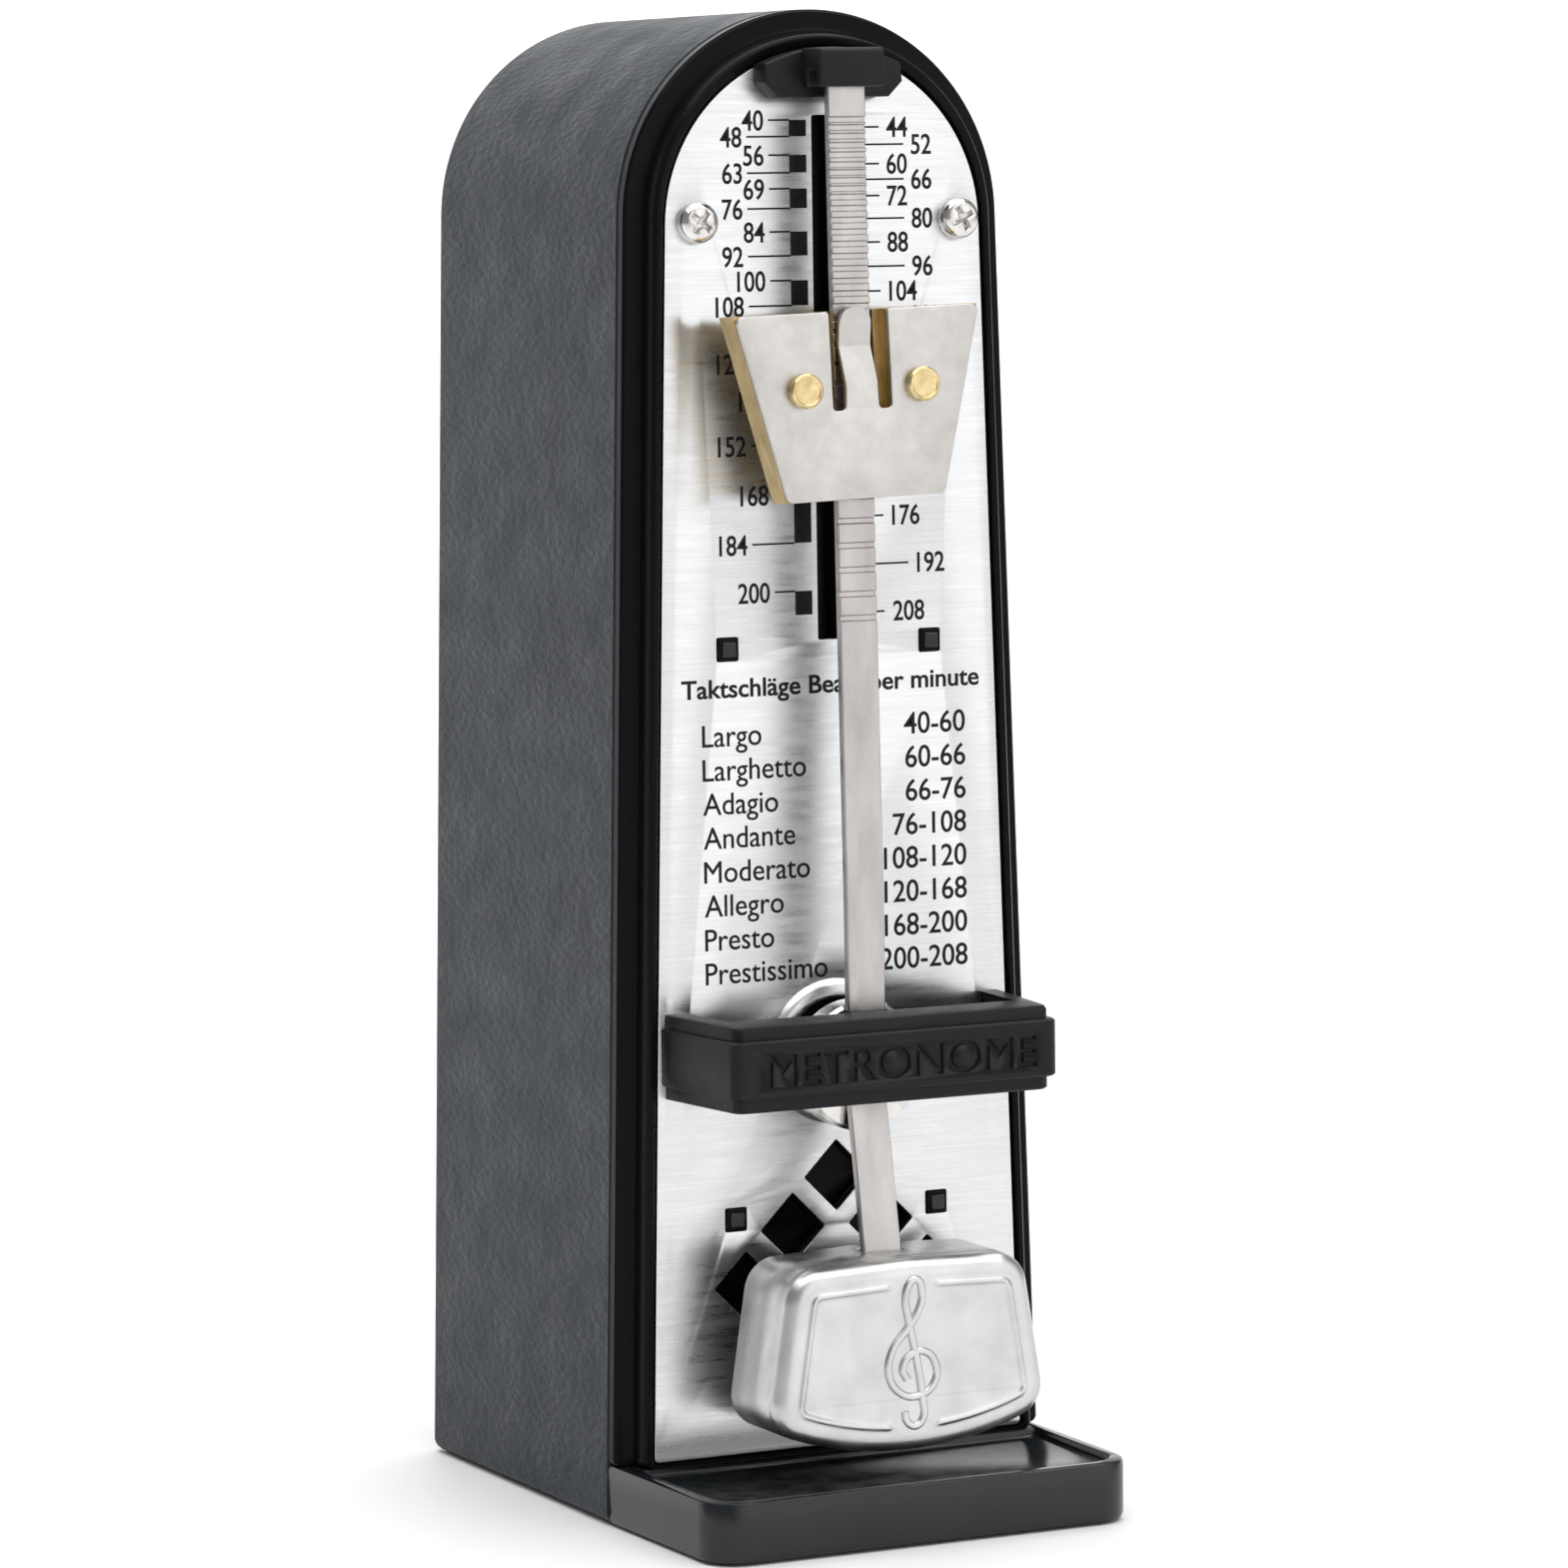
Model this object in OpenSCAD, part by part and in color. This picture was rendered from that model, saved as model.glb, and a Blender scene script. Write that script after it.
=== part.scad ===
// Small wind-up metronome with a leaning-sided, arch-topped case.
// Frame: +X to the right of the dial, +Y to the back, +Z up. The dial faces -Y.
// The origin lies on the standing face, in the plane where the rear shell meets the front frame.

/* [Case] */
// Height of the case
case_h = 110; // [104:1:118]
// Width of the case at the foot
case_w = 35; // [34:0.5:38]
// Depth of the rear shell
shell_d = 33.4; // [30:0.1:38]
// Lean of each side, in mm per mm of height
lean = 0.0265; // [0.02:0.0005:0.03]
// Wall thickness of the rear shell
wall = 1.8; // [1.4:0.1:2.2]
// Thickness of the anti-slip sheet under the case
pad_t = 0.15; // [0.1:0.05:0.5]

/* [Front] */
// How far the raised lip stands in front of the shell
lip_y = 3.4; // [3:0.1:4]
// How far the outer step stands in front of the shell
step_y = 1.4; // [1:0.1:1.8]
// Thickness of the dial plate
plate_t = 0.5; // [0.4:0.1:0.8]
// How far the foot reaches in front of the shell
foot_y = 17.6; // [15:0.1:20]
// Height of the foot tray
foot_z = 4.6; // [4:0.1:5]
// Front face of the name bar, in front of the shell
bar_y = 13.5; // [12.5:0.1:14.5]

/* [Pendulum] */
// Height of the pendulum axis
pivot_z = 33.6; // [33:0.1:34.2]
// Width of the rod
rod_w = 3; // [2.4:0.1:3.4]
// Thickness of the rod
rod_t = 0.7; // [0.5:0.1:0.8]
// Front face of the rod at the pivot, in front of the shell
rod_y = 8.6; // [8.4:0.1:8.8]
// Depth of the bob
bob_t = 7.9; // [6.5:0.1:8.2]
// Tempo mark at which the sliding weight stands
set_bpm = 109.5; // [44:0.5:200]

/* [Movement] */
// Teeth of the great wheel on the spring barrel
great_teeth = 52; // [52]
// Teeth of the intermediate pinion
inter_pinion_teeth = 10; // [10]
// Teeth of the intermediate wheel
inter_teeth = 46; // [46]
// Teeth of the escape pinion
escape_pinion_teeth = 8; // [8]
// Teeth of the escape wheel
escape_teeth = 15; // [13:1:17]
// Teeth of the ratchet wheel
ratchet_teeth = 18; // [16:1:22]

/* [Hidden] */
$fn = 64;
half_w = case_w / 2;
arch_steps = 60;

// Insets of the frame profile from the case outline, at the sides and at the top of the arch
lip_out = [1.4, 1.8];
lip_in = [2.1, 2.75];
plate_in = [2.32, 3];
groove = [0.35, 0.35];
groove_y = 0.35;
step_out = [-0.1, 0.02];
tongue_out = [2, 2];
tongue_in = [3.2, 3.2];
tongue_d = 1.8;

plate_y = lip_y - 0.2;
panel_y = plate_y - plate_t;
panel_back = 1.2;
plate_z = 5;
frame_z = foot_z + 0.05;

// Tempo marks: a compound pendulum's law gives the height of the weight for each rate
beats = [40, 44, 48, 52, 56, 60, 63, 66, 69, 72, 76, 80, 84, 88, 92, 96, 100, 104, 108, 112, 116,
    120, 126, 132, 138, 144, 152, 160, 168, 176, 184, 192, 200, 208];
beat_gain = 3.95e6;
balance_h = 71.3;
inertia = 2461;
function mark_z(b) = pivot_z
    + (-beat_gain + sqrt(pow(beat_gain, 2) - 4 * b * b * (b * b * inertia - beat_gain * balance_h)))
    / (2 * b * b);

// Dial plate features
peg_x = 8.2;
peg_z = [64, 22.35];
peg_w = 1.6;
dial_screw_c = [[10.8, 94.75], [-10.25, 94.75]];
slot_w = 1.75;
slot_z = [64.4, 102.35];
diamonds = [[0, 25], [3.6, 21.35], [-3.6, 21.35], [7.4, 17.35], [-7.4, 17.35]];
diamond_r = 2.63;
hole_r = 4.0;
shaft_r = 2.7;
dial_screw_r = 1.5;
dial_screw_head = 1.25;
collar_r = 5.35;
collar_rise = 0.6;
hub_r = 4.75;
collar_t = 0.5;

// Rod: it leans back above bend_z and forward below joggle_z
bend_z = 45;
tip_z = 105.2;
rod_lean = 1.36;
joggle_z = 31.5;
rod_foot = [-12.1, 12.4];
notch_w = 0.5;
notch_d = 0.15;

// Sliding weight, in the leaning frame of the rod
weight_z = mark_z(set_bpm);
weight_top = 9.8;
weight_bottom = 6.3;
weight_h = 13.5;
weight_tilt = 1.8;
weight_front = 1.45;
weight_back = 1.2;
rod_gap = 0.35;
spring_t = 0.4;
tongue_half = 1.3;
tongue_slot = 1.05;
tongue_h = 7.1;
rivet = [4.7, -5.55];
rivet_r = 1.25;
rivet_head = 0.8;

// Bob
bob_front = -15.4;
bob_back = bob_front + bob_t;
bob_r = 27.2;
bob_top_z = 20.2;
bob_wall = 0.7;

// Movement axes, as [x, z]
barrel_c = [0, 18.5];
pivot_c = [0, pivot_z];
great_m = 0.4;
train_m = 0.3;
play = 0.1;
great_d = great_m * (great_teeth + inter_pinion_teeth) / 2 + play;
inter_d = train_m * (inter_teeth + escape_pinion_teeth) / 2 + play;
great_angle = 125.2;
inter_angle = 94.9;
inter_c = barrel_c + great_d * [cos(great_angle), sin(great_angle)];
escape_c = inter_c + inter_d * [cos(inter_angle), sin(inter_angle)];
front_plate = [2, 3];
rear_plate = [20, 21];
pillar_c = [[11.4, 12.6], [-11.4, 12.6], [11.2, 43.6], [-11.2, 44.2]];
case_screw_c = [[12.5, 7.3], [-12.5, 7.3], [10.2, 88], [-10.2, 88]];
boss_r = 2.4;
foot_screw = [10, -1.5];
click_c = [7.2, 21.5];
barrel_r = 9.7;

// ---- helpers ----

// Extrudes an outline drawn in X and Z from y0 back to y1
module along_y(y0, y1) translate([0, y1, 0]) rotate([90, 0, 0]) linear_extrude(y1 - y0) children();

// Round bar along Y with its axis at c = [x, z]
module bar_y(c, r, y0, y1) translate([c[0], y1, c[1]]) rotate([90, 0, 0]) cylinder(r = r, h = y1 - y0);

// Extrudes an outline drawn in Y and Z over x from x0 to x1
module along_x(x0, x1) translate([x0, 0, 0]) rotate([90, 0, 90]) linear_extrude(x1 - x0) children();

// Arch with leaning sides, inset from the case outline at the sides and at the top
module arch(inset, z0) {
    hw = half_w - inset[0];
    h = case_h - inset[1];
    s = sqrt(1 + lean * lean);
    r = (hw - lean * h) / (s - lean);
    a = atan(lean);
    polygon(concat([[-(hw - lean * z0), z0], [hw - lean * z0, z0]],
        [for (i = [0:arch_steps])
            let (t = a + (180 - 2 * a) * i / arch_steps)
            [r * cos(t), h - r + r * sin(t)]]));
}

// Rectangle with round corners
module round_rect(w, h, r) {
    square([w - 2 * r, h], center = true);
    square([w, h - 2 * r], center = true);
    for (x = [-1, 1], y = [-1, 1]) translate([x * (w / 2 - r), y * (h / 2 - r)]) circle(r);
}

// Gear outline with straight-flanked teeth, one of them centred on angle 0
module gear_outline(n, m, tip = 0.11, mid = 0.19, foot = 0.26) {
    p = 360 / n;
    r = m * n / 2;
    polygon([for (i = [0:n - 1], q = [[-foot, -1.2], [-mid, 0], [-tip, 0.85], [tip, 0.85], [mid, 0],
        [foot, -1.2]])
        let (t = p * (i + q[0]), k = r + q[1] * m)
        [k * cos(t), k * sin(t)]]);
}

function unit(v) = v / norm(v);

// Points of an arc of radius r that rounds the corner b between a and c
function fillet(a, b, c, r, n = 6) = let (u = unit(a - b), v = unit(c - b), h = acos(u * v) / 2,
    m = b + unit(u + v) * r / sin(h), p = b + u * r / tan(h) - m, q = b + v * r / tan(h) - m)
    [for (i = [0:n]) m + r * unit(p * (n - i) / n + q * i / n)];

// Outline with slanted ratchet teeth
module saw_outline(n, r_tip, r_root, slant) {
    p = 360 / n;
    polygon([for (i = [0:n - 1], q = [[0, r_tip], [0.14, r_tip], [slant, r_root]])
        let (t = p * (i + q[0]))
        [q[1] * cos(t), q[1] * sin(t)]]);
}

// Round windows that leave spokes in a wheel
module windows(n, r_at, r) for (i = [0:n - 1]) rotate(360 / n * i) translate([r_at, 0]) circle(r);

// Cross-slotted pan head at c, its crown towards -Y
module pan_head(c, r, y0, y1) {
    slot = r * 0.34;
    difference() {
        bar_y(c, r, y0, y1);
        for (a = [0, 90])
            translate([c[0], y0, c[1]]) rotate([0, a + 35, 0]) cube([r * 1.3, 0.9, slot], center = true);
    }
}

// ---- case ----

module rear_shell() color("#3c4247") difference() {
    union() {
        difference() {
            along_y(0, shell_d) arch([0, 0], pad_t);
            along_y(-1, shell_d - wall) arch([wall, wall], pad_t + wall);
        }
        for (c = case_screw_c) bar_y(c, boss_r + 0.2, 10, shell_d - wall);
    }
    for (c = case_screw_c) {
        bar_y(c, 1.15, 9, 16);
        bar_y(c, 2, 14, shell_d + 1);
    }
    bar_y(barrel_c, 2.1, shell_d - wall - 1, shell_d + 1);
}

module front_frame() color("#1b1c1e") difference() {
    union() {
        along_y(-step_y, -groove_y) arch(step_out, frame_z);
        along_y(-groove_y, 0) arch(groove, frame_z);
        difference() {
            along_y(-lip_y, -step_y) arch(lip_out, frame_z);
            along_y(-lip_y - 1, -panel_y) arch(lip_in, plate_z - 0.2);
        }
        difference() {
            along_y(0, tongue_d) arch(tongue_out, frame_z);
            along_y(-1, tongue_d + 1) arch(tongue_in, frame_z + 1.2);
        }
        for (c = case_screw_c) bar_y(c, boss_r, -1, 9.9);
        for (c = pillar_c) bar_y(c, 2.2, -1, front_plate[0]);
        for (c = dial_screw_c) bar_y(c, 2, -1, 4);
        for (x = [-1, 1], z = peg_z)
            translate([x * peg_x - peg_w / 2, -plate_y - 0.3, z - peg_w / 2])
                cube([peg_w, 0.3 + plate_y - panel_back, peg_w]);
    }
    // Hollow behind the panel, inside the ring and round the screw bosses
    difference() {
        along_y(-panel_back, 0.01) arch(tongue_in, frame_z + 1.2);
        for (c = case_screw_c) bar_y(c, boss_r, -2, 1);
        for (c = pillar_c) bar_y(c, 2.2, -2, 1);
        for (c = dial_screw_c) bar_y(c, 2, -2, 1);
        for (x = [-1, 1]) translate([x * foot_screw[0] - 1.6, -2, 0]) cube([3.2, 4, 9]);
    }
    // Pockets behind the slot and the diamond sound holes
    translate([-slot_w / 2, -panel_y - 1, slot_z[0]]) cube([slot_w, 2.1, slot_z[1] - slot_z[0]]);
    for (d = diamonds)
        along_y(-panel_y - 1, -panel_y + 1.1) translate(d) rotate(45) square(diamond_r * sqrt(2), center = true);
    bar_y(pivot_c, shaft_r, -panel_y - 1, 1);
    for (c = case_screw_c) bar_y(c, 0.9, 3, 12);
    for (c = pillar_c) bar_y(c, 0.8, 0.2, 3);
    for (c = dial_screw_c) bar_y(c, 0.8, -lip_y, 3);
    for (x = [-1, 1]) translate([x * foot_screw[0], foot_screw[1], foot_z - 1]) cylinder(r = 0.6, h = 4.2);
}

// Plan of the foot tray, drawn in X and Y, with its edges inset by i
module tray_plan(i) {
    back = [half_w - 0.2 - i, 0];
    front = [half_w - 0.5 - i, -foot_y + i];
    corner = 3 - i;
    polygon(concat([[-back[0], 0], back], fillet(back, front, [0, front[1]], corner),
        fillet([0, front[1]], [-front[0], front[1]], [-back[0], 0], corner)));
}

module foot_tray() color("#2c3236") difference() {
    translate([0, 0, pad_t]) linear_extrude(foot_z - pad_t) tray_plan(0);
    intersection() {
        translate([0, 0, foot_z - 0.7]) linear_extrude(2) tray_plan(0.9);
        translate([-half_w, -foot_y, 0]) cube([case_w, foot_y - lip_y, 10]);
    }
    for (x = [-1, 1]) translate([x * foot_screw[0], foot_screw[1], 0]) {
        cylinder(r = 0.7, h = 10);
        cylinder(r = 1.2, h = pad_t + 1);
    }
}

module base_pad() color("#121212") {
    inset = 1.3;
    linear_extrude(pad_t) difference() {
        polygon([[-half_w + inset, shell_d - inset], [half_w - inset, shell_d - inset],
            [half_w - inset, 0], [half_w - 1 - inset, -foot_y + 4], [half_w - 4, -foot_y + inset],
            [-half_w + 4, -foot_y + inset], [-half_w + 1 + inset, -foot_y + 4], [-half_w + inset, 0]]);
        for (x = [-1, 1]) translate([x * foot_screw[0], foot_screw[1]]) circle(1.7);
    }
}

module scale_plate() color("#cfd2d4") difference() {
    union() {
        along_y(-plate_y, -panel_y) arch(plate_in, plate_z);
        bar_y(pivot_c + [0, collar_rise], collar_r, -plate_y - collar_t, -plate_y + 0.1);
    }
    bar_y(pivot_c + [0, collar_rise], hole_r, -plate_y - 1, 0);
    translate([-slot_w / 2, -plate_y - 1, slot_z[0]]) cube([slot_w, 2, slot_z[1] - slot_z[0]]);
    for (d = diamonds)
        along_y(-plate_y - 1, 0) translate(d) rotate(45) square(diamond_r * sqrt(2), center = true);
    for (c = dial_screw_c) bar_y(c, 1, -plate_y - 1, 0);
    for (x = [-1, 1], z = peg_z)
        translate([x * peg_x, -plate_y, z]) cube([peg_w + 0.1, 3, peg_w + 0.1], center = true);
}

module plate_screws() color("#d8d5cf") for (c = dial_screw_c) {
    pan_head(c, dial_screw_r, -plate_y - dial_screw_head, -plate_y);
    bar_y(c, 0.8, -plate_y, 2.5);
}

// Bridge-shaped band of the name bar from z0 to z1, its outer faces inset
module bar_band(inset, z0, z1) {
    side = 1.5;
    base_half = 14 - inset * 0.6;
    front_half = 13.07;
    back_y = -bar_y + 4;
    slope = 0.095;
    translate([0, 0, z0]) linear_extrude(z1 - z0) polygon([[-base_half, -plate_y],
        [-front_half + inset * (1 - slope), -bar_y + inset], [front_half - inset * (1 - slope), -bar_y + inset],
        [base_half, -plate_y], [base_half - side, -plate_y], [front_half - side, back_y],
        [-front_half + side, back_y], [-base_half + side, -plate_y]]);
}

module name_bar() color("#191b1d") {
    low = pivot_z - 1;
    high = pivot_z + 3.2;
    ledge_h = 1;
    ledge_in = 0.5;
    bar_band(0, low, high);
    bar_band(ledge_in, low - ledge_h, low);
    bar_band(ledge_in, high, high + ledge_h);
}

module rod_catch() color("#191b1d") {
    catch_half = 5.5;
    hook_half = 2.57;
    z0 = 103.6;
    snug = lip_in + [0.05, 0.05];
    top = case_h - snug[1];
    intersection() {
        along_y(-5.3, -plate_y) difference() {
            translate([-catch_half, z0]) square([2 * catch_half, 4]);
            for (x = [-1, 1]) translate([x * catch_half, z0]) rotate(45) square(1.6, center = true);
        }
        along_y(-6, 0) arch(snug, 50);
    }
    along_x(-hook_half, hook_half) polygon([[-5.3, z0 + 0.7], [-6.1, z0 + 0.7], [-6.1, 105.65],
        [-7.5, 105.65], [-7.5, z0 + 0.7], [-8.2, z0 + 0.7], [-8.2, top - 0.1], [-5.3, top - 0.1]]);
}

module case_screws() color("#9c9a94") for (c = case_screw_c) {
    pan_y = 16;
    bar_y(c, 0.9, 3.2, 14);
    difference() {
        bar_y(c, 1.8, 14, pan_y);
        for (a = [0, 90])
            translate([c[0], pan_y, c[1]]) rotate([0, a, 0]) cube([2.2, 1.4, 0.6], center = true);
    }
}

module foot_screws() color("#9c9a94") for (x = [-1, 1])
    translate([x * foot_screw[0], foot_screw[1], 0]) {
        translate([0, 0, pad_t + 0.1]) cylinder(r = 1.1, h = 0.9);
        translate([0, 0, pad_t + 1]) cylinder(r = 0.6, h = 6);
    }

// ---- movement frame ----

module plate_blank(y) along_y(y[0], y[1]) translate([0, 28.3]) round_rect(27.6, 35.6, 3);

module front_movement_plate() color("#c3a25a") difference() {
    plate_blank(front_plate);
    for (c = pillar_c) bar_y(c, 0.9, 0, 5);
    bar_y(barrel_c, 1.05, 0, 5);
    bar_y(inter_c, 0.45, 0, 5);
    bar_y(escape_c, 0.45, 0, 5);
    bar_y(pivot_c, 1.9, 0, 5);
}

module rear_movement_plate() color("#c3a25a") difference() {
    plate_blank(rear_plate);
    for (c = pillar_c) bar_y(c, 0.9, 19, 23);
    bar_y(barrel_c, 1.55, 19, 23);
    bar_y(inter_c, 0.45, 19, 23);
    bar_y(escape_c, 0.45, 19, 23);
    bar_y(pivot_c, 1.9, 19, 23);
    bar_y(click_c, 0.8, 19, 23);
}

module movement_pillars() color("#b8985a") for (c = pillar_c) difference() {
    bar_y(c, 1.6, front_plate[1], rear_plate[0]);
    bar_y(c, 0.9, 0, 25);
}

module movement_screws() color("#a9a7a0") for (c = pillar_c) {
    bar_y(c, 0.8, 0.4, rear_plate[1]);
    difference() {
        bar_y(c, 1.6, rear_plate[1], rear_plate[1] + 1);
        translate([c[0], rear_plate[1] + 1, c[1]]) cube([4, 0.9, 0.5], center = true);
    }
}

module arbor_bushes() color("#8a6d3b") for (y = [front_plate, rear_plate]) difference() {
    bar_y(pivot_c, 1.9, y[0], y[1]);
    bar_y(pivot_c, 0.75, y[0] - 1, y[1] + 1);
}

module click_stud() color("#a9a7a0") {
    bar_y(click_c, 0.8, rear_plate[0], rear_plate[1] + 1.6);
    bar_y(click_c, 1.5, rear_plate[1] + 1.6, rear_plate[1] + 2.2);
}

module click_spring() color("#b9bcc0") {
    y0 = rear_plate[1];
    along_y(y0, y0 + 1.1) polygon([[9.4, 26.2], [11.6, 26.2], [11.6, 28.4], [9.4, 28.4]]);
    along_y(y0 + 0.3, y0 + 1.1) polygon([[9.4, 26.2], [9.4, 26.5], [3.2, 24.9], [3.2, 24.6]]);
}

// ---- pendulum ----

module pendulum_arbor() color("#8f9296") {
    bar_y(pivot_c, 1.2, -5.6, front_plate[0] - 0.2);
    bar_y(pivot_c, 0.7, front_plate[0] - 0.2, front_plate[1] + 0.2);
    bar_y(pivot_c, 1, front_plate[1] + 0.2, rear_plate[0] - 0.2);
    bar_y(pivot_c, 0.7, rear_plate[0] - 0.2, rear_plate[1] + 0.3);
}

module pallet_anchor() color("#7b8086") {
    y0 = 11.5;
    y1 = 12.7;
    v = escape_c - pivot_c;
    d = norm(v);
    reach = 5.2;
    aim = atan2(v[1], v[0]);
    open = asin(reach / d);
    arm = sqrt(d * d - reach * reach);
    difference() {
        union() {
            bar_y(pivot_c, 2.1, y0 - 0.6, y1 + 0.6);
            along_y(y0, y1) translate(pivot_c) for (s = [-1, 1]) rotate(aim + s * open) {
                translate([0, -0.65]) square([arm + 0.5, 1.3]);
                translate([arm - 0.4, s > 0 ? -1.5 : 0]) square([0.9, 1.5]);
            }
        }
        bar_y(pivot_c, 1, 5, 20);
    }
}

module rod_hub() color("#d5d6d6") difference() {
    union() {
        bar_y(pivot_c, hub_r, -rod_y + rod_t, -5.6);
        bar_y(pivot_c, 2.2, -5.6, -2.4);
    }
    bar_y(pivot_c, 1.2, -5.6, 0);
}

module pendulum_rod() color("#bdb8b4") difference() {
    t = rod_t;
    k = tan(rod_lean);
    top_y = -rod_y + (tip_z - bend_z) * k;
    foot_back = rod_foot[0] + t;
    along_x(-rod_w / 2, rod_w / 2) polygon([[-rod_y, bend_z], [top_y, tip_z], [top_y + t, tip_z],
        [-rod_y + t, bend_z], [-rod_y + t, joggle_z], [foot_back, rod_foot[1]], rod_foot,
        [-rod_y, joggle_z]]);
    for (b = beats) translate([0, -rod_y + (mark_z(b) - bend_z) * k, mark_z(b)])
        rotate([-rod_lean, 0, 0]) cube([rod_w + 1, 2 * notch_d, notch_w], center = true);
}

// Bob outline: leaning sides, a bottom edge about the pendulum axis and a gently arched top
module bob_outline(inset) {
    side_x = 9.75 - inset;
    side_z = 18.1;
    spread = 0.158;
    top = bob_top_z - inset;
    r = bob_r - inset;
    low_z = 8.75 + inset;
    corner = 2.6 - inset;
    high_right = [side_x + (side_z - top) * spread, top];
    low_right = [side_x + (side_z - low_z) * spread, low_z];
    high_left = [-high_right[0], high_right[1]];
    low_left = [-low_right[0], low_right[1]];
    end = 17.5;
    bottom = [for (t = [-end:2.5:end]) [r * sin(t), pivot_z - r * cos(t)]];
    crown = [0, top + 0.35];
    polygon(concat(bottom, fillet(bottom[len(bottom) - 1], low_right, high_right, corner),
        fillet(low_right, high_right, crown, corner), [crown],
        fillet(crown, high_left, low_left, corner), fillet(high_left, low_left, bottom[0], corner)));
}

// Clearance around the rod where it runs into the bob
module rod_channel(gap) {
    k = (rod_foot[0] + rod_y) / (joggle_z - rod_foot[1]);
    y_top = -rod_y + (joggle_z - 22) * k;
    along_x(-rod_w / 2 - gap, rod_w / 2 + gap) polygon([[y_top - gap, 22], [y_top + rod_t + gap, 22],
        [rod_foot[0] + rod_t + gap, rod_foot[1]], [rod_foot[0] - gap, rod_foot[1]]]);
}

module bob_shell() color("#d9d9d8") difference() {
    along_y(bob_front, bob_back) bob_outline(0);
    along_y(bob_front + bob_wall, bob_back + 1) bob_outline(bob_wall);
    rod_channel(0.15);
}

module bob_core() color("#6f7276") difference() {
    along_y(bob_front + bob_wall, bob_back - 0.4) bob_outline(bob_wall);
    rod_channel(0);
}

// ---- sliding weight ----

// Places children on the rod's front face, below the tempo mark and slightly askew, as the loose
// weight hangs; the weight's top edge is at height 0
module on_rod() translate([0, -rod_y + (weight_z - bend_z) * tan(rod_lean), weight_z])
    rotate([-rod_lean, 0, 0]) translate([0, 0, -weight_h / 2]) rotate([0, -weight_tilt, 0])
        translate([0, 0, weight_h / 2]) children();

module weight_outline() polygon([[-weight_bottom, -weight_h], [weight_bottom, -weight_h],
    [weight_top, 0], [-weight_top, 0]]);

module weight_body() color("#b4934d") on_rod() difference() {
    along_y(-weight_front + spring_t, weight_back) weight_outline();
    translate([-rod_w / 2 - rod_gap, -3, -20]) cube([rod_w + 2 * rod_gap, 3 + rod_t + 0.1, 30]);
    translate([-tongue_half - tongue_slot, -3, -tongue_h]) cube([2 * (tongue_half + tongue_slot), 3.1, 20]);
    for (x = [-1, 1]) bar_y([x * rivet[0], rivet[1]], 0.8, -3, 0.4);
}

module weight_spring_plate() color("#cfccc6") on_rod() {
    difference() {
        along_y(-weight_front, -weight_front + spring_t) weight_outline();
        translate([-tongue_half - tongue_slot, -3, -tongue_h])
            cube([2 * (tongue_half + tongue_slot), 3, 20]);
        for (x = [-1, 1]) bar_y([x * rivet[0], rivet[1]], 0.8, -3, 3);
    }
    t = spring_t;
    f = -weight_front;
    intersection() {
        along_x(-tongue_half, tongue_half) polygon([[f, -tongue_h], [f + t, -tongue_h], [f + t, -5],
            [-0.12, -2.7], [-0.12, -2.3], [-0.7, 0.3], [-1.1, 0.3], [-0.55, -2.4], [f, -5.2]]);
        along_y(-2, 1) {
            translate([0, 0.3 - tongue_half]) circle(tongue_half);
            translate([-tongue_half, -tongue_h]) square([2 * tongue_half, tongue_h + 0.3 - tongue_half]);
        }
    }
}

module weight_rivets() color("#c2a35c") on_rod() for (x = [-1, 1]) {
    c = [x * rivet[0], rivet[1]];
    bar_y(c, 0.8, -weight_front, 0.4);
    bar_y(c, rivet_r, -weight_front - rivet_head, -weight_front);
}

// ---- winding ----

module barrel_arbor() color("#8f9296") {
    square_y = [rear_plate[1] + 0.2, rear_plate[1] + 2.6];
    bar_y(barrel_c, 1, front_plate[0], front_plate[1] + 0.3);
    bar_y(barrel_c, 1.8, front_plate[1] + 0.3, rear_plate[0] - 0.3);
    bar_y(barrel_c, 1.5, rear_plate[0] - 0.3, square_y[0]);
    along_y(square_y[0], square_y[1]) translate(barrel_c) square(2.2, center = true);
    bar_y(barrel_c, 1.5, square_y[1], shell_d + 0.6);
    bar_y(barrel_c, 1, shell_d + 0.6, shell_d + 4);
}

module ratchet_wheel() color("#a9a7a0") along_y(rear_plate[1] + 0.4, rear_plate[1] + 1.6)
    translate(barrel_c) difference() {
        saw_outline(ratchet_teeth, 4.4, 3.6, 0.9);
        square(2.2, center = true);
    }

module winding_key() color("#b7b5b0") {
    y0 = shell_d + 0.6;
    hub_end = y0 + 5;
    wing_end = y0 + 11;
    difference() {
        union() {
            bar_y(barrel_c, 2.9, y0, hub_end);
            translate([barrel_c[0], 0, barrel_c[1] - 0.9]) linear_extrude(1.8) {
                for (x = [-1, 1]) translate([x * 5, wing_end - 4]) circle(3.8);
                translate([-5, y0 + 2.5]) square([10, 6]);
            }
        }
        bar_y(barrel_c, 1, 0, y0 + 3.4);
        for (x = [-1, 1]) translate([x * 5.2, wing_end - 4, 0]) cylinder(r = 1.7, h = 60);
    }
}

module click() color("#9da0a4") {
    y0 = rear_plate[1] + 0.4;
    y1 = rear_plate[1] + 1.5;
    difference() {
        union() {
            bar_y(click_c, 1.4, y0, y1);
            along_y(y0, y1) translate(click_c) polygon([[-1, 0.8], [-1.25, -0.4], [-5.1, 1], [-4.7, 1.7]]);
        }
        bar_y(click_c, 0.87, y0 - 1, y1 + 1);
    }
}

// ---- wheel train ----

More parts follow.
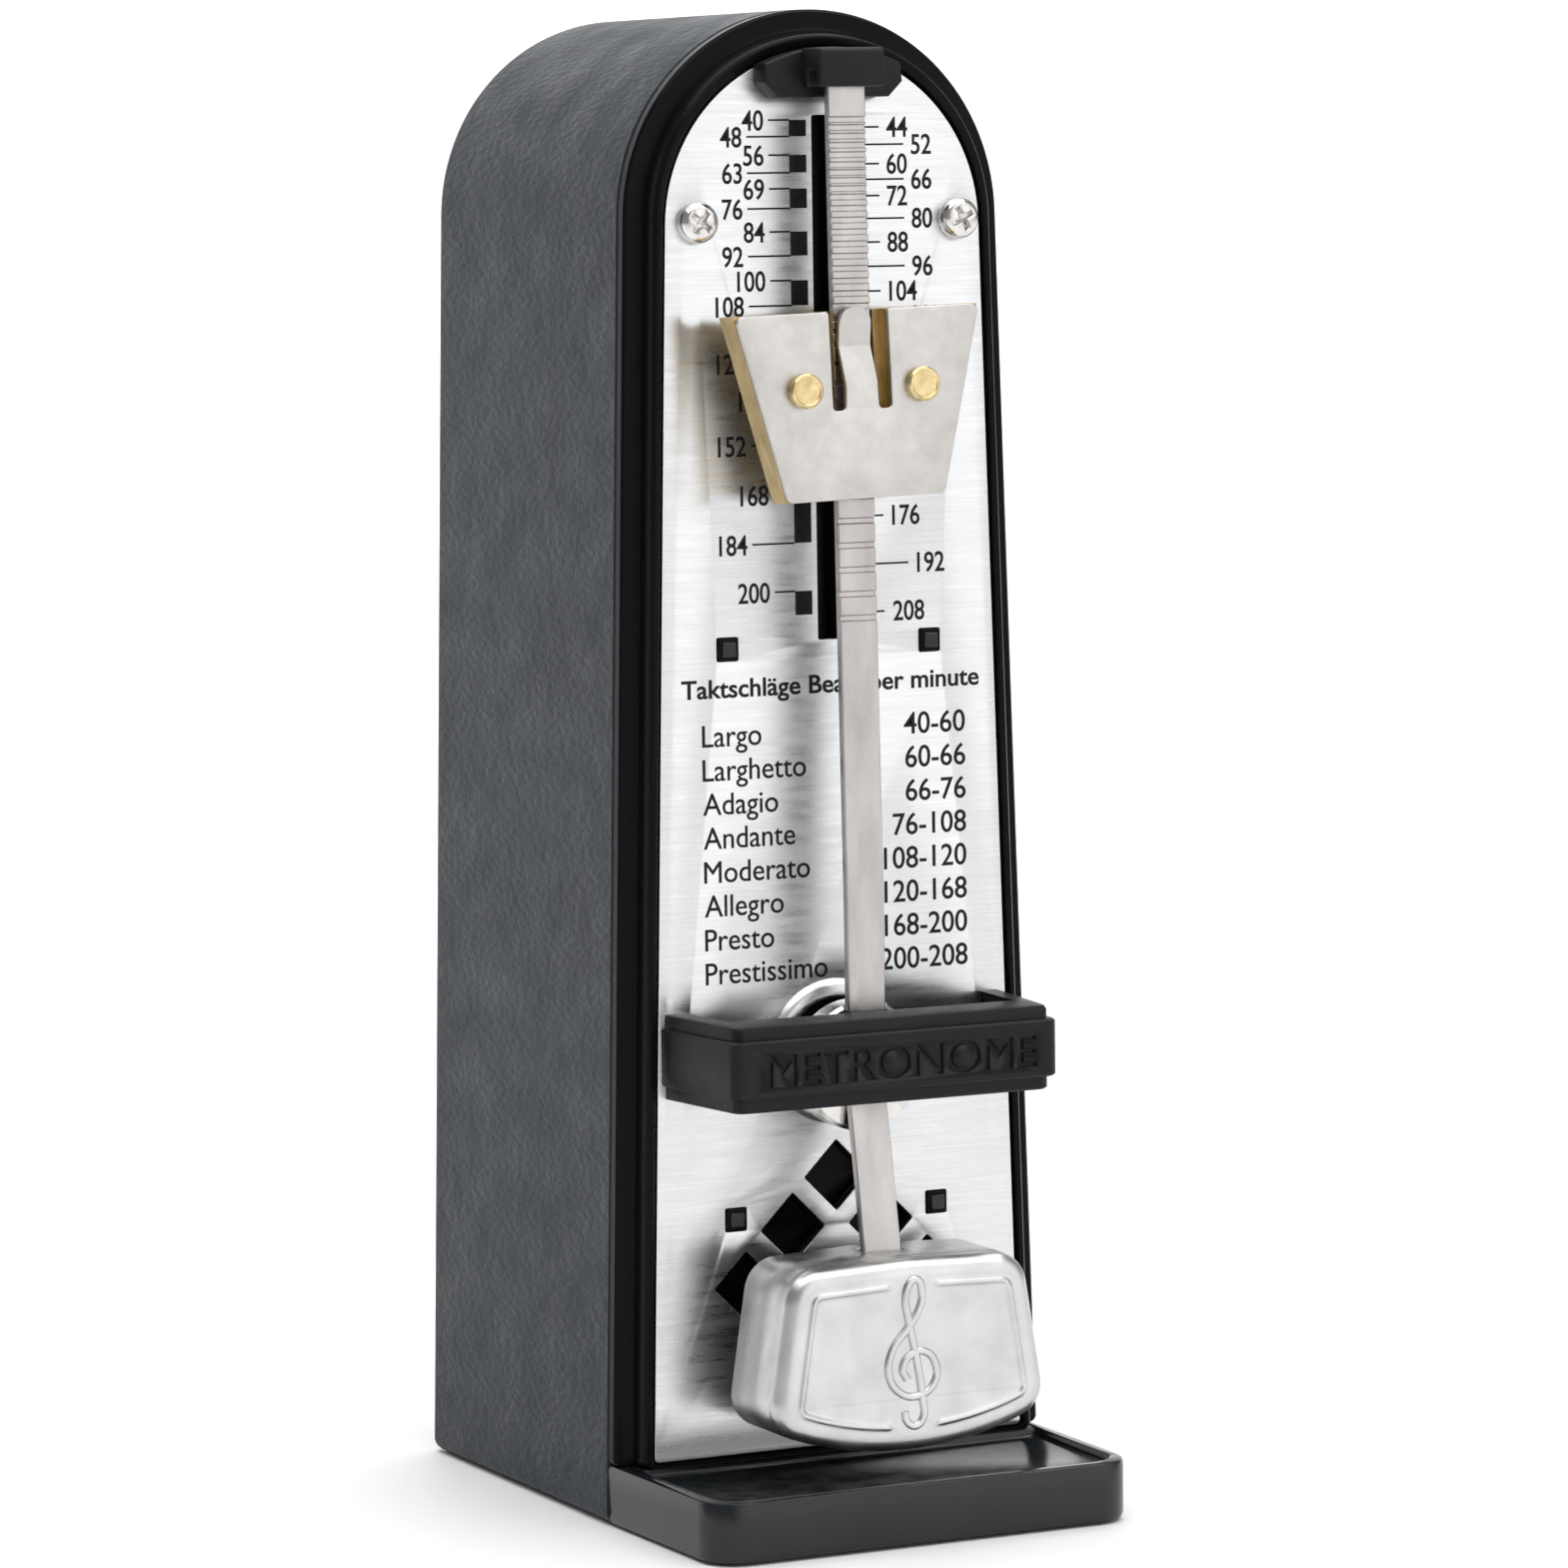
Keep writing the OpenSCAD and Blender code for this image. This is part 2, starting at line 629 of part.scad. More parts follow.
module spring_barrel() color("#c3a25a") difference() {
    union() {
        along_y(8, 9.2) translate(barrel_c) rotate(great_angle) gear_outline(great_teeth, great_m);
        bar_y(barrel_c, barrel_r, 9.2, 18);
    }
    bar_y(barrel_c, barrel_r - 0.7, 9, 20);
    bar_y(barrel_c, 1.88, 7, 20);
}

module barrel_cover() color("#cbab66") difference() {
    bar_y(barrel_c, barrel_r, 18, 18.6);
    bar_y(barrel_c, 1.88, 17, 20);
}

// Point of the mainspring's spiral at angle t in degrees, o outside its inner face
function coil(t, o) = (2.1 + o + (barrel_r - 3.13) * t / 2520) * [cos(t), sin(t)];

module mainspring() color("#5b6a78") along_y(9.5, 17.6) translate(barrel_c)
    polygon(concat([for (t = [0:18:2520]) coil(t, 0)], [for (t = [2520:-18:0]) coil(t, 0.28)]));

module intermediate_wheel() color("#c3a25a") along_y(4.2, 5) translate(inter_c) difference() {
    rotate(inter_angle) gear_outline(inter_teeth, train_m);
    windows(5, 3.9, 1.6);
    circle(0.9);
}

module intermediate_pinion() color("#8f9296") {
    bar_y(inter_c, 0.4, front_plate[0], 3.2);
    bar_y(inter_c, 0.9, 3.2, 7.6);
    along_y(7.6, 9.6) translate(inter_c)
        rotate(great_angle + 180 + 180 / inter_pinion_teeth) gear_outline(inter_pinion_teeth, great_m);
    bar_y(inter_c, 0.9, 9.6, 19.8);
    bar_y(inter_c, 0.4, 19.8, rear_plate[1]);
}

module escape_wheel() color("#c3a25a") along_y(10, 11.2) translate(escape_c) difference() {
    saw_outline(escape_teeth, 5, 3.7, 0.75);
    windows(5, 2.3, 0.8);
    circle(0.7);
}

module escape_pinion() color("#8f9296") {
    bar_y(escape_c, 0.4, front_plate[0], 3.2);
    along_y(3.6, 5.6) translate(escape_c)
        rotate(inter_angle + 180 + 180 / escape_pinion_teeth) gear_outline(escape_pinion_teeth, train_m);
    bar_y(escape_c, 0.7, 3.2, 3.6);
    bar_y(escape_c, 0.7, 5.6, 19.8);
    bar_y(escape_c, 0.4, 19.8, rear_plate[1]);
}

rear_shell();
front_frame();
foot_tray();
base_pad();
scale_plate();
plate_screws();
name_bar();
rod_catch();
case_screws();
foot_screws();
front_movement_plate();
rear_movement_plate();
movement_pillars();
movement_screws();
click_stud();
click_spring();
arbor_bushes();
pendulum_arbor();
pallet_anchor();
rod_hub();
pendulum_rod();
bob_shell();
bob_core();
weight_body();
weight_spring_plate();
weight_rivets();
barrel_arbor();
ratchet_wheel();
winding_key();
click();
spring_barrel();
barrel_cover();
mainspring();
intermediate_wheel();
intermediate_pinion();
escape_wheel();
escape_pinion();
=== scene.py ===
"""Looks of a small wind-up metronome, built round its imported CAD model. Lengths here are in millimetres."""

import math

import bmesh
import bpy
from mathutils import Matrix, Vector


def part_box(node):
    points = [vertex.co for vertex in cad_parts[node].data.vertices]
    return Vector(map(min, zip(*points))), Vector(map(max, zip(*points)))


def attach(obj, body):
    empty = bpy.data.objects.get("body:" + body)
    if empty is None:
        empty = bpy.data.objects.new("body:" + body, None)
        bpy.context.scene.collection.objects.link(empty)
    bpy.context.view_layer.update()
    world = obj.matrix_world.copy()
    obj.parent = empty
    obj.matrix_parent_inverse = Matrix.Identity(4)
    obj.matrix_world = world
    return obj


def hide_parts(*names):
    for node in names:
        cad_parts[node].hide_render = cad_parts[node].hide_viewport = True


MM = 0.001

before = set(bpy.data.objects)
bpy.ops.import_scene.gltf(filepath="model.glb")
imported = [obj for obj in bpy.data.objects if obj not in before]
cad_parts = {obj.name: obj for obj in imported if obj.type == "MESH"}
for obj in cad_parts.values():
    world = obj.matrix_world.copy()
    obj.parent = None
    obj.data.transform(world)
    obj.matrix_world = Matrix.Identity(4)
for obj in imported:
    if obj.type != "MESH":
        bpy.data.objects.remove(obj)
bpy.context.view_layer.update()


def box_mm(node):
    """Lowest and highest corner of a CAD node, in millimetres."""
    low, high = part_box(node)
    return [v / MM for v in low], [v / MM for v in high]


# ---- sizes taken from the frame ----

SHELL = box_mm("rear_shell")
CASE_H = SHELL[1][2]
SHELL_D = SHELL[1][1]
PAD_T = SHELL[0][2]
LEAN = 0.0265
HALF_W = SHELL[1][0] + LEAN * PAD_T
WALL = 1.8
FRAME = box_mm("front_frame")
FRAME_Z = FRAME[0][2]
LIP_Y = -3.4
PANEL_Y = -2.7
PANEL_BACK = -1.2
PLATE = box_mm("scale_plate")
PLATE_Y = PANEL_Y - 0.5
PLATE_INSET = (2.32, 3.0)
PIVOT_Z = (box_mm("rod_hub")[0][2] + box_mm("rod_hub")[1][2]) / 2
COLLAR_Z = PIVOT_Z + 0.6
COLLAR_R = 5.35
COLLAR_HOLE_R = 4.0
SHAFT_R = 2.7
HUB_R = 4.75
TRAY = box_mm("foot_tray")
ROD = box_mm("pendulum_rod")
BAR = box_mm("name_bar")
BOB = box_mm("bob_shell")
CATCH = box_mm("rod_catch")
KEY = box_mm("winding_key")
SCREWS = box_mm("plate_screws")
DIAL_SCREWS = [(x, (SCREWS[0][2] + SCREWS[1][2]) / 2) for x in (10.8, -10.25)]
BARREL_Z = (KEY[0][2] + KEY[1][2]) / 2
CASE_SCREWS = [(12.5, 7.3), (-12.5, 7.3), (10.2, 88), (-10.2, 88)]
PILLARS = [(11.4, 12.6), (-11.4, 12.6), (11.2, 43.6), (-11.2, 44.2)]
SLOT = (0.875, 64.4, 102.35)
DIAMONDS = [(0, 25), (3.6, 21.35), (-3.6, 21.35), (7.4, 17.35), (-7.4, 17.35)]
DIAMOND_R = 2.63
PEGS = [(x, z) for x in (-8.2, 8.2) for z in (64.0, 22.35)]
ROD_LEAN = math.radians(1.36)
ROD_FRONT = -8.6
ROD_THICK = 0.7
ROD_FOOT = (-12.1, 12.4)
JOGGLE_Z = 31.5
BEND_Z = 45.0
SET_BEATS = 109.5
WEIGHT_H = 13.5
WEIGHT_TILT = math.radians(1.8)

# Tempo marks: a compound pendulum's law gives the height of the weight for each rate
LEFT_BEATS = [40, 48, 56, 63, 69, 76, 84, 92, 100, 108, 116, 126, 138, 152, 168, 184, 200]
RIGHT_BEATS = [44, 52, 60, 66, 72, 80, 88, 96, 104, 112, 120, 132, 144, 160, 176, 192, 208]
TEMPI = [("Largo", "40-60"), ("Larghetto", "60-66"), ("Adagio", "66-76"), ("Andante", "76-108"),
         ("Moderato", "108-120"), ("Allegro", "120-168"), ("Presto", "168-200"), ("Prestissimo", "200-208")]


def mark_z(beats):
    """Height of the sliding weight's top edge for a rate in beats per minute."""
    gain, balance, inertia = 3.95e6, 71.3, 2461
    square = beats * beats
    root = math.sqrt(gain * gain - 4 * square * (square * inertia - gain * balance))
    return PIVOT_Z + (root - gain) / (2 * square)


# ---- outlines, as lists of (x, z) or (x, y) ----

def fillet(a, b, c, r, n=6):
    """Points of an arc of radius r that rounds corner b between a and c."""
    a, b, c = Vector(a), Vector(b), Vector(c)
    u, v = (a - b).normalized(), (c - b).normalized()
    half = math.acos(max(-1, min(1, u.dot(v)))) / 2
    middle = b + (u + v).normalized() * r / math.sin(half)
    p, q = b + u * r / math.tan(half) - middle, b + v * r / math.tan(half) - middle
    return [tuple(middle + (p.lerp(q, i / n)).normalized() * r) for i in range(n + 1)]


def rounded(points, r, n=6):
    """A closed outline with every corner rounded; r is one radius or one for each corner."""
    radii = r if isinstance(r, (list, tuple)) else [r] * len(points)
    out = []
    for i, p in enumerate(points):
        out += fillet(points[i - 1], p, points[(i + 1) % len(points)], radii[i], n)
    return out


def arch(side, top, z0, corner=0.5, steps=72):
    """The case's arch with leaning sides, inset at the sides and at the top, its foot at z0."""
    hw, h = HALF_W - side, CASE_H - top
    r = (hw - LEAN * h) / (math.sqrt(1 + LEAN * LEAN) - LEAN)
    a = math.atan(LEAN)
    right, left = (hw - LEAN * z0, z0), (-(hw - LEAN * z0), z0)
    sweep = [a + (math.pi - 2 * a) * i / steps for i in range(steps + 1)]
    top_arc = [(r * math.cos(t), h - r + r * math.sin(t)) for t in sweep]
    return fillet(top_arc[-1], left, right, corner) + fillet(left, right, top_arc[0], corner) + top_arc


def circle(centre, r, n=48):
    return [(centre[0] + r * math.cos(2 * math.pi * i / n), centre[1] + r * math.sin(2 * math.pi * i / n))
            for i in range(n)]


def rectangle(x0, z0, x1, z1, r=0.0):
    corners = [(x0, z0), (x1, z0), (x1, z1), (x0, z1)]
    return rounded(corners, r, 4) if r else corners


def resample(points, count):
    """count points spread evenly along a closed outline, the first one unchanged."""
    pts = [Vector(p) for p in points]
    ends = pts[1:] + pts[:1]
    lengths = [(b - a).length for a, b in zip(pts, ends)]
    total, out, i, done = sum(lengths), [], 0, 0.0
    for k in range(count):
        want = total * k / count
        while done + lengths[i] < want:
            done += lengths[i]
            i += 1
        out.append(pts[i].lerp(ends[i], (want - done) / lengths[i]))
    return out


def inset_ring(points, d):
    """The outline moved inwards by d along its normals (points run counter-clockwise)."""
    out = []
    for i, p in enumerate(points):
        along = (points[(i + 1) % len(points)] - points[i - 1]).normalized()
        out.append((p.x - along.y * d, p.y + along.x * d))
    return out


# ---- meshes ----

def finish_mesh(name, bm, smooth=35):
    """Makes the object from a bmesh in millimetres, with smooth faces and sharp edges."""
    bmesh.ops.remove_doubles(bm, verts=bm.verts, dist=1e-5)
    bmesh.ops.recalc_face_normals(bm, faces=bm.faces)
    for f in bm.faces:
        f.smooth = True
    for e in bm.edges:
        e.smooth = not (len(e.link_faces) == 2 and e.calc_face_angle(0) > math.radians(smooth))
    bmesh.ops.scale(bm, vec=(MM, MM, MM), verts=bm.verts)
    mesh = bpy.data.meshes.new(name)
    bm.to_mesh(mesh)
    bm.free()
    obj = bpy.data.objects.new(name, mesh)
    bpy.context.scene.collection.objects.link(obj)
    return obj


def add_loft(bm, rings, caps=(True, True)):
    """Skins closed rings of equal length; caps closes the first and the last one."""
    rows = [[bm.verts.new(p) for p in ring] for ring in rings]
    n = len(rows[0])
    for a, b in zip(rows, rows[1:]):
        for i in range(n):
            bm.faces.new((a[i], a[(i + 1) % n], b[(i + 1) % n], b[i]))
    if caps[0]:
        bm.faces.new(rows[0])
    if caps[1]:
        bm.faces.new(rows[-1])


def loft(name, rings, caps=(True, True), smooth=35):
    bm = bmesh.new()
    add_loft(bm, rings, caps)
    return finish_mesh(name, bm, smooth)


def at_y(outline, y):
    return [(x, y, z) for x, z in outline]


def at_z(outline, z):
    return [(x, y, z) for x, y in outline]


def add_lathe(bm, profile, centre, n=56):
    """Turns a profile of (radius, y) about an axis along Y through centre = (x, z)."""
    rings = []
    for r, y in profile:
        rings.append([(centre[0] + r * math.cos(2 * math.pi * i / n), y,
                       centre[1] + r * math.sin(2 * math.pi * i / n)) for i in range(n)])
    add_loft(bm, rings)


def lathe(name, profile, centres, smooth=35):
    bm = bmesh.new()
    for c in centres:
        add_lathe(bm, profile, c)
    return finish_mesh(name, bm, smooth)


def evaluated(obj):
    """Replaces an object by a plain mesh object that holds its evaluated shape."""
    mesh = bpy.data.meshes.new_from_object(obj.evaluated_get(bpy.context.evaluated_depsgraph_get()))
    made = bpy.data.objects.new(obj.name, mesh)
    made.matrix_world = obj.matrix_world.copy()
    bpy.data.objects.remove(obj)
    bpy.context.scene.collection.objects.link(made)
    return made


def to_bmesh(obj):
    """A bmesh, in millimetres, of an object that is then removed."""
    bm = bmesh.new()
    bm.from_mesh(obj.data)
    bm.transform(obj.matrix_world)
    bmesh.ops.scale(bm, vec=(1 / MM, 1 / MM, 1 / MM), verts=bm.verts)
    bpy.data.objects.remove(obj)
    return bm


FACING = {"-Y": Matrix.Rotation(math.radians(90), 4, "X"),
          "+Z": Matrix.Identity(4),
          "+X": Matrix(((0, 0, 1, 0), (1, 0, 0, 0), (0, 1, 0, 0), (0, 0, 0, 1)))}


def slab(name, loops, low, high, edge=0.1, facing="-Y", smooth=35):
    """A plate with holes: the first loop is its outline. Its edges are rounded by edge.

    facing -Y: loops are (x, z) and low..high are y. +Z: (x, y) and z. +X: (y, z) and x.
    """
    curve = bpy.data.curves.new(name, "CURVE")
    curve.dimensions = "2D"
    curve.fill_mode = "BOTH"
    curve.extrude = (high - low) / 2 - edge
    curve.bevel_depth = edge
    curve.bevel_resolution = 2
    curve.offset = -edge
    for loop in loops:
        spline = curve.splines.new("POLY")
        spline.points.add(len(loop) - 1)
        for point, p in zip(spline.points, loop):
            point.co = (p[0], p[1], 0, 1)
        spline.use_cyclic_u = True
    obj = bpy.data.objects.new(name, curve)
    bpy.context.scene.collection.objects.link(obj)
    turn = FACING[facing]
    middle = (low + high) / 2
    shift = {"-Y": (0, middle, 0), "+Z": (0, 0, middle), "+X": (middle, 0, 0)}[facing]
    obj.matrix_world = Matrix.Scale(MM, 4) @ Matrix.Translation(shift) @ turn
    bpy.context.view_layer.update()
    bm = to_bmesh(evaluated(obj))
    return finish_mesh(name, bm, smooth)


def join(name, parts):
    """One object from several, keeping each one's material."""
    first = parts[0]
    materials = []
    for part in parts:
        for m in part.data.materials:
            if m not in materials:
                materials.append(m)
    bm = bmesh.new()
    for part in parts:
        start = len(bm.faces)
        bm.from_mesh(part.data)
        bm.faces.ensure_lookup_table()
        for f in bm.faces[start:]:
            if part.data.materials:
                f.material_index = materials.index(part.data.materials[f.material_index])
    mesh = bpy.data.meshes.new(name)
    bm.to_mesh(mesh)
    bm.free()
    for m in materials:
        mesh.materials.append(m)
    for part in parts[1:]:
        bpy.data.objects.remove(part)
    first.data = mesh
    first.name = name
    return first


def cut(obj, tool, operation="DIFFERENCE"):
    """Applies an exact boolean and removes the tool."""
    mod = obj.modifiers.new("cut", "BOOLEAN")
    mod.operation = operation
    mod.solver = "EXACT"
    mod.object = tool
    bpy.context.view_layer.update()
    mesh = bpy.data.meshes.new_from_object(obj.evaluated_get(bpy.context.evaluated_depsgraph_get()))
    obj.modifiers.clear()
    obj.data = mesh
    bpy.data.objects.remove(tool)
    return obj


def rods(name, centres, r, y0, y1):
    """Plain round bars along Y, as a boolean tool."""
    return lathe(name, [(r, y0), (r, y1)], centres)


# ---- materials ----

class Shader:
    """Builds a node material in object space, in millimetres."""

    def __init__(self, name, color, metallic=0.0, roughness=0.5, **sockets):
        self.m = bpy.data.materials.new(name)
        self.m.use_nodes = True
        self.t = self.m.node_tree
        self.bsdf = self.t.nodes["Principled BSDF"]
        self.bsdf.inputs["Metallic"].default_value = metallic
        for key, value in sockets.items():
            self.bsdf.inputs[key.replace("_", " ")].default_value = value
        self.color, self.roughness, self.normal = color, roughness, None
        coord = self.t.nodes.new("ShaderNodeTexCoord")
        self.position = coord.outputs["Object"]
        self.normal_at = coord.outputs["Normal"]

    def node(self, kind, **inputs):
        n = self.t.nodes.new(kind)
        for key, value in inputs.items():
            socket = n.inputs[key.replace("_", " ")]
            if hasattr(value, "node"):
                self.t.links.new(value, socket)
            else:
                socket.default_value = value
        return n

    def noise(self, per_mm, detail=3.0, stretch=(1, 1, 1), rough=0.55):
        """Noise with per_mm features in a millimetre, drawn out along the axes where stretch is below 1."""
        scale = tuple(s * per_mm / MM for s in stretch)
        mapping = self.node("ShaderNodeMapping", Vector=self.position, Scale=scale)
        n = self.node("ShaderNodeTexNoise", Vector=mapping.outputs["Vector"], Scale=1.0, Detail=detail,
                      Roughness=rough)
        return n.outputs["Fac"]

    def ramp(self, value, low, high, out_low, out_high):
        n = self.node("ShaderNodeMapRange", Value=value)
        n.inputs["From Min"].default_value = low
        n.inputs["From Max"].default_value = high
        n.inputs["To Min"].default_value = out_low
        n.inputs["To Max"].default_value = out_high
        return n.outputs["Result"]

    def tint(self, value, dark, light, low=0.3, high=0.7):
        """Colour that varies between two shades with value."""
        n = self.t.nodes.new("ShaderNodeValToRGB")
        n.color_ramp.elements[0].position = low
        n.color_ramp.elements[1].position = high
        n.color_ramp.elements[0].color = (*dark, 1)
        n.color_ramp.elements[1].color = (*light, 1)
        self.t.links.new(value, n.inputs["Fac"])
        self.color = n.outputs["Color"]

    def mix(self, factor, color):
        """Lays color over the present colour where factor is 1."""
        n = self.t.nodes.new("ShaderNodeMix")
        n.data_type = "RGBA"
        self.t.links.new(factor, n.inputs["Factor"])
        if hasattr(self.color, "node"):
            self.t.links.new(self.color, n.inputs["A"])
        else:
            n.inputs["A"].default_value = (*self.color, 1)
        n.inputs["B"].default_value = (*color, 1)
        self.color = n.outputs["Result"]

    def rough(self, value, low, high, start=0.3, end=0.7):
        self.roughness = self.ramp(value, start, end, low, high)

    def bump(self, value, height, strength=1.0):
        n = self.node("ShaderNodeBump", Height=value, Strength=strength, Distance=height * MM)
        if self.normal is not None:
            self.t.links.new(self.normal, n.inputs["Normal"])
        self.normal = n.outputs["Normal"]

    def done(self):
        for key, value in (("Base Color", self.color), ("Roughness", self.roughness)):
            socket = self.bsdf.inputs[key]
            if hasattr(value, "node"):
                self.t.links.new(value, socket)
            else:
                socket.default_value = (*value, 1) if key == "Base Color" else value
        if self.normal is not None:
            self.t.links.new(self.normal, self.bsdf.inputs["Normal"])
        return self.m


def grained_plastic():
    s = Shader("grained_plastic", (0.016, 0.021, 0.028), roughness=0.45, Specular_IOR_Level=0.15)
    s.tint(s.noise(0.06, 4), (0.014, 0.018, 0.024), (0.02, 0.026, 0.034))
    s.rough(s.noise(0.25, 4), 0.36, 0.5)
    s.bump(s.noise(2.2, 2.5, (1, 0.45, 1), rough=0.5), 0.13)
    s.bump(s.noise(7, 2), 0.01)
    return s.done()


def gloss_plastic(name, color, low, high, grain=0.006, gloss=0.2):
    """Smooth moulded plastic with faint handling marks and mould texture."""
    s = Shader(name, color, roughness=low, Specular_IOR_Level=gloss)
    s.tint(s.noise(0.12, 4), tuple(c * 0.85 for c in color), tuple(c * 1.15 for c in color))
    s.rough(s.noise(0.5, 5, rough=0.65), low, high)
    s.bump(s.noise(3.0, 3), grain)
    return s.done()


def brushed_aluminium():
    s = Shader("brushed_aluminium", (0.72, 0.73, 0.74), metallic=1.0, roughness=0.3, Anisotropic=0.75)
    streaks = s.noise(9, 3, stretch=(0.02, 1, 1))
    s.tint(streaks, (0.64, 0.65, 0.665), (0.76, 0.765, 0.77), 0.25, 0.75)
    s.rough(s.noise(1.6, 4, stretch=(0.12, 1, 1)), 0.24, 0.34)
    s.bump(streaks, 0.0007)
    s.bump(s.noise(3, 2, stretch=(0.03, 1, 1)), 0.0009)
    tangent = s.t.nodes.new("ShaderNodeTangent")
    tangent.direction_type = "UV_MAP"
    tangent.uv_map = "UVMap"
    s.t.links.new(tangent.outputs["Tangent"], s.bsdf.inputs["Tangent"])
    return s.done()


def metal(name, dark, light, low, high, per_mm=0.7, stretch=(1, 1, 1), bump=0.003, speckle=0.0, back=None):
    """Bare or plated metal: blotches, fine streaks and, with speckle, a fine pitted skin.

    back is a painted shade: a darker colour laid on faces turned to +Y, towards the back.
    """
    s = Shader(name, light, metallic=1.0, roughness=low)
    s.tint(s.noise(per_mm, 5, stretch), dark, light, 0.3, 0.7)
    s.rough(s.noise(per_mm * 1.8, 4, stretch), low, high)
    s.bump(s.noise(per_mm * 8, 3, stretch), bump)
    if speckle:
        s.bump(s.noise(5.5, 2), speckle)
    # Painted shade: faces turned to +Y get the darker back colour
    if back:
        facing = s.node("ShaderNodeSeparateXYZ", Vector=s.normal_at)
        s.mix(s.ramp(facing.outputs["Y"], 0.3, 0.8, 0, 1), back)
    return s.done()


def printed_ink():
    s = Shader("printed_ink", (0.008, 0.008, 0.009), roughness=0.4, Specular_IOR_Level=0.15)
    s.tint(s.noise(4, 3), (0.006, 0.006, 0.007), (0.014, 0.014, 0.016))
    s.rough(s.noise(3, 3), 0.34, 0.5)
    return s.done()


def rubber():
    s = Shader("rubber", (0.015, 0.015, 0.015), roughness=0.8)
    s.tint(s.noise(1, 4), (0.012, 0.012, 0.012), (0.022, 0.022, 0.022))
    s.rough(s.noise(2, 3), 0.7, 0.9)
    s.bump(s.noise(6, 3), 0.02)
    return s.done()


SHELL_PLASTIC = grained_plastic()
FRAME_PLASTIC = gloss_plastic("frame_plastic", (0.004, 0.0045, 0.005), 0.16, 0.28, gloss=0.06)
TRAY_PLASTIC = gloss_plastic("tray_plastic", (0.009, 0.011, 0.013), 0.13, 0.24, gloss=0.4)
BAR_PLASTIC = gloss_plastic("bar_plastic", (0.009, 0.0105, 0.012), 0.34, 0.46, grain=0.01, gloss=0.16)
PLATE_METAL = brushed_aluminium()
INK = printed_ink()
RUBBER = rubber()
# The rod's faces turned to the dial get a painted shade through back
ROD_NICKEL = metal("rod_nickel", (0.4, 0.38, 0.37), (0.54, 0.515, 0.5), 0.24, 0.4, 0.5, (1, 1, 0.25), 0.004,
                   back=(0.12, 0.12, 0.13))
BOB_NICKEL = metal("bob_nickel", (0.54, 0.54, 0.53), (0.65, 0.65, 0.64), 0.26, 0.4, 0.35, bump=0.003)
WEIGHT_NICKEL = metal("weight_nickel", (0.5, 0.48, 0.46), (0.6, 0.58, 0.56), 0.3, 0.42, 0.6,
                      bump=0.004, speckle=0.012)
BRASS = metal("brass", (0.42, 0.31, 0.14), (0.66, 0.5, 0.25), 0.28, 0.42, 0.8, (1, 1, 0.5), 0.004)
RIVET_BRASS = metal("rivet_brass", (0.55, 0.42, 0.2), (0.78, 0.63, 0.35), 0.2, 0.32, 1.2)
CHROME = metal("chrome", (0.6, 0.58, 0.56), (0.78, 0.76, 0.74), 0.1, 0.2, 0.9)
STEEL = metal("steel", (0.3, 0.31, 0.32), (0.5, 0.51, 0.52), 0.25, 0.4, 0.8)
BLUED = metal("blued_steel", (0.06, 0.09, 0.15), (0.14, 0.18, 0.26), 0.22, 0.35, 0.5)
CLOCK_BRASS = metal("clock_brass", (0.5, 0.37, 0.17), (0.72, 0.56, 0.3), 0.25, 0.4, 0.5)
BRONZE = metal("bronze", (0.36, 0.24, 0.12), (0.52, 0.36, 0.2), 0.3, 0.42, 1.0)
IRON = gloss_plastic("painted_iron", (0.02, 0.021, 0.022), 0.4, 0.6, grain=0.03)


def dress(obj, material):
    obj.data.materials.clear()
    obj.data.materials.append(material)
    return obj


def piece(obj, material, body, slot, *nodes):
    """Gives a new piece its material and its body, and hides the CAD nodes that it stands for; slot is not
    used.
    """
    if material:
        dress(obj, material)
    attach(obj, body)
    if nodes:
        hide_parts(*nodes)
    return obj


# ---- case ----

def rear_shell():
    """Arch-topped case with a rounded back edge, screw bosses and the winding arbor's hole."""
    edge = 1.5
    outer = [(0.12, 0.0), (0, 0.12), (0, SHELL_D - edge)]
    outer += [(edge - edge * math.cos(t), SHELL_D - edge + edge * math.sin(t))
              for t in [math.pi / 2 * i / 6 for i in range(1, 7)]]
    foot = PAD_T
    rings = [at_y(arch(WALL, WALL, foot + WALL), SHELL_D - WALL), at_y(arch(WALL, WALL, foot + WALL), 0)]
    rings += [at_y(arch(d, d, foot + d * 0.6, 0.9), y) for d, y in outer]
    shell = loft("case_shell", rings)
    cut(shell, rods("bosses", CASE_SCREWS, 2.6, 10, SHELL_D - 1), "UNION")
    cut(shell, rods("counterbores", CASE_SCREWS, 2.0, 14, SHELL_D + 2))
    cut(shell, rods("screw_holes", CASE_SCREWS, 1.15, 9, 15))
    cut(shell, rods("arbor_hole", [(0, BARREL_Z)], 2.1, SHELL_D - 3, SHELL_D + 2))
    # The large flat faces keep an even shade beside the rounded edge
    even = shell.modifiers.new("even_normals", "WEIGHTED_NORMAL")
    even.weight = 100
    even.keep_sharp = True
    piece(shell, SHELL_PLASTIC, "case", "shell", "rear_shell")


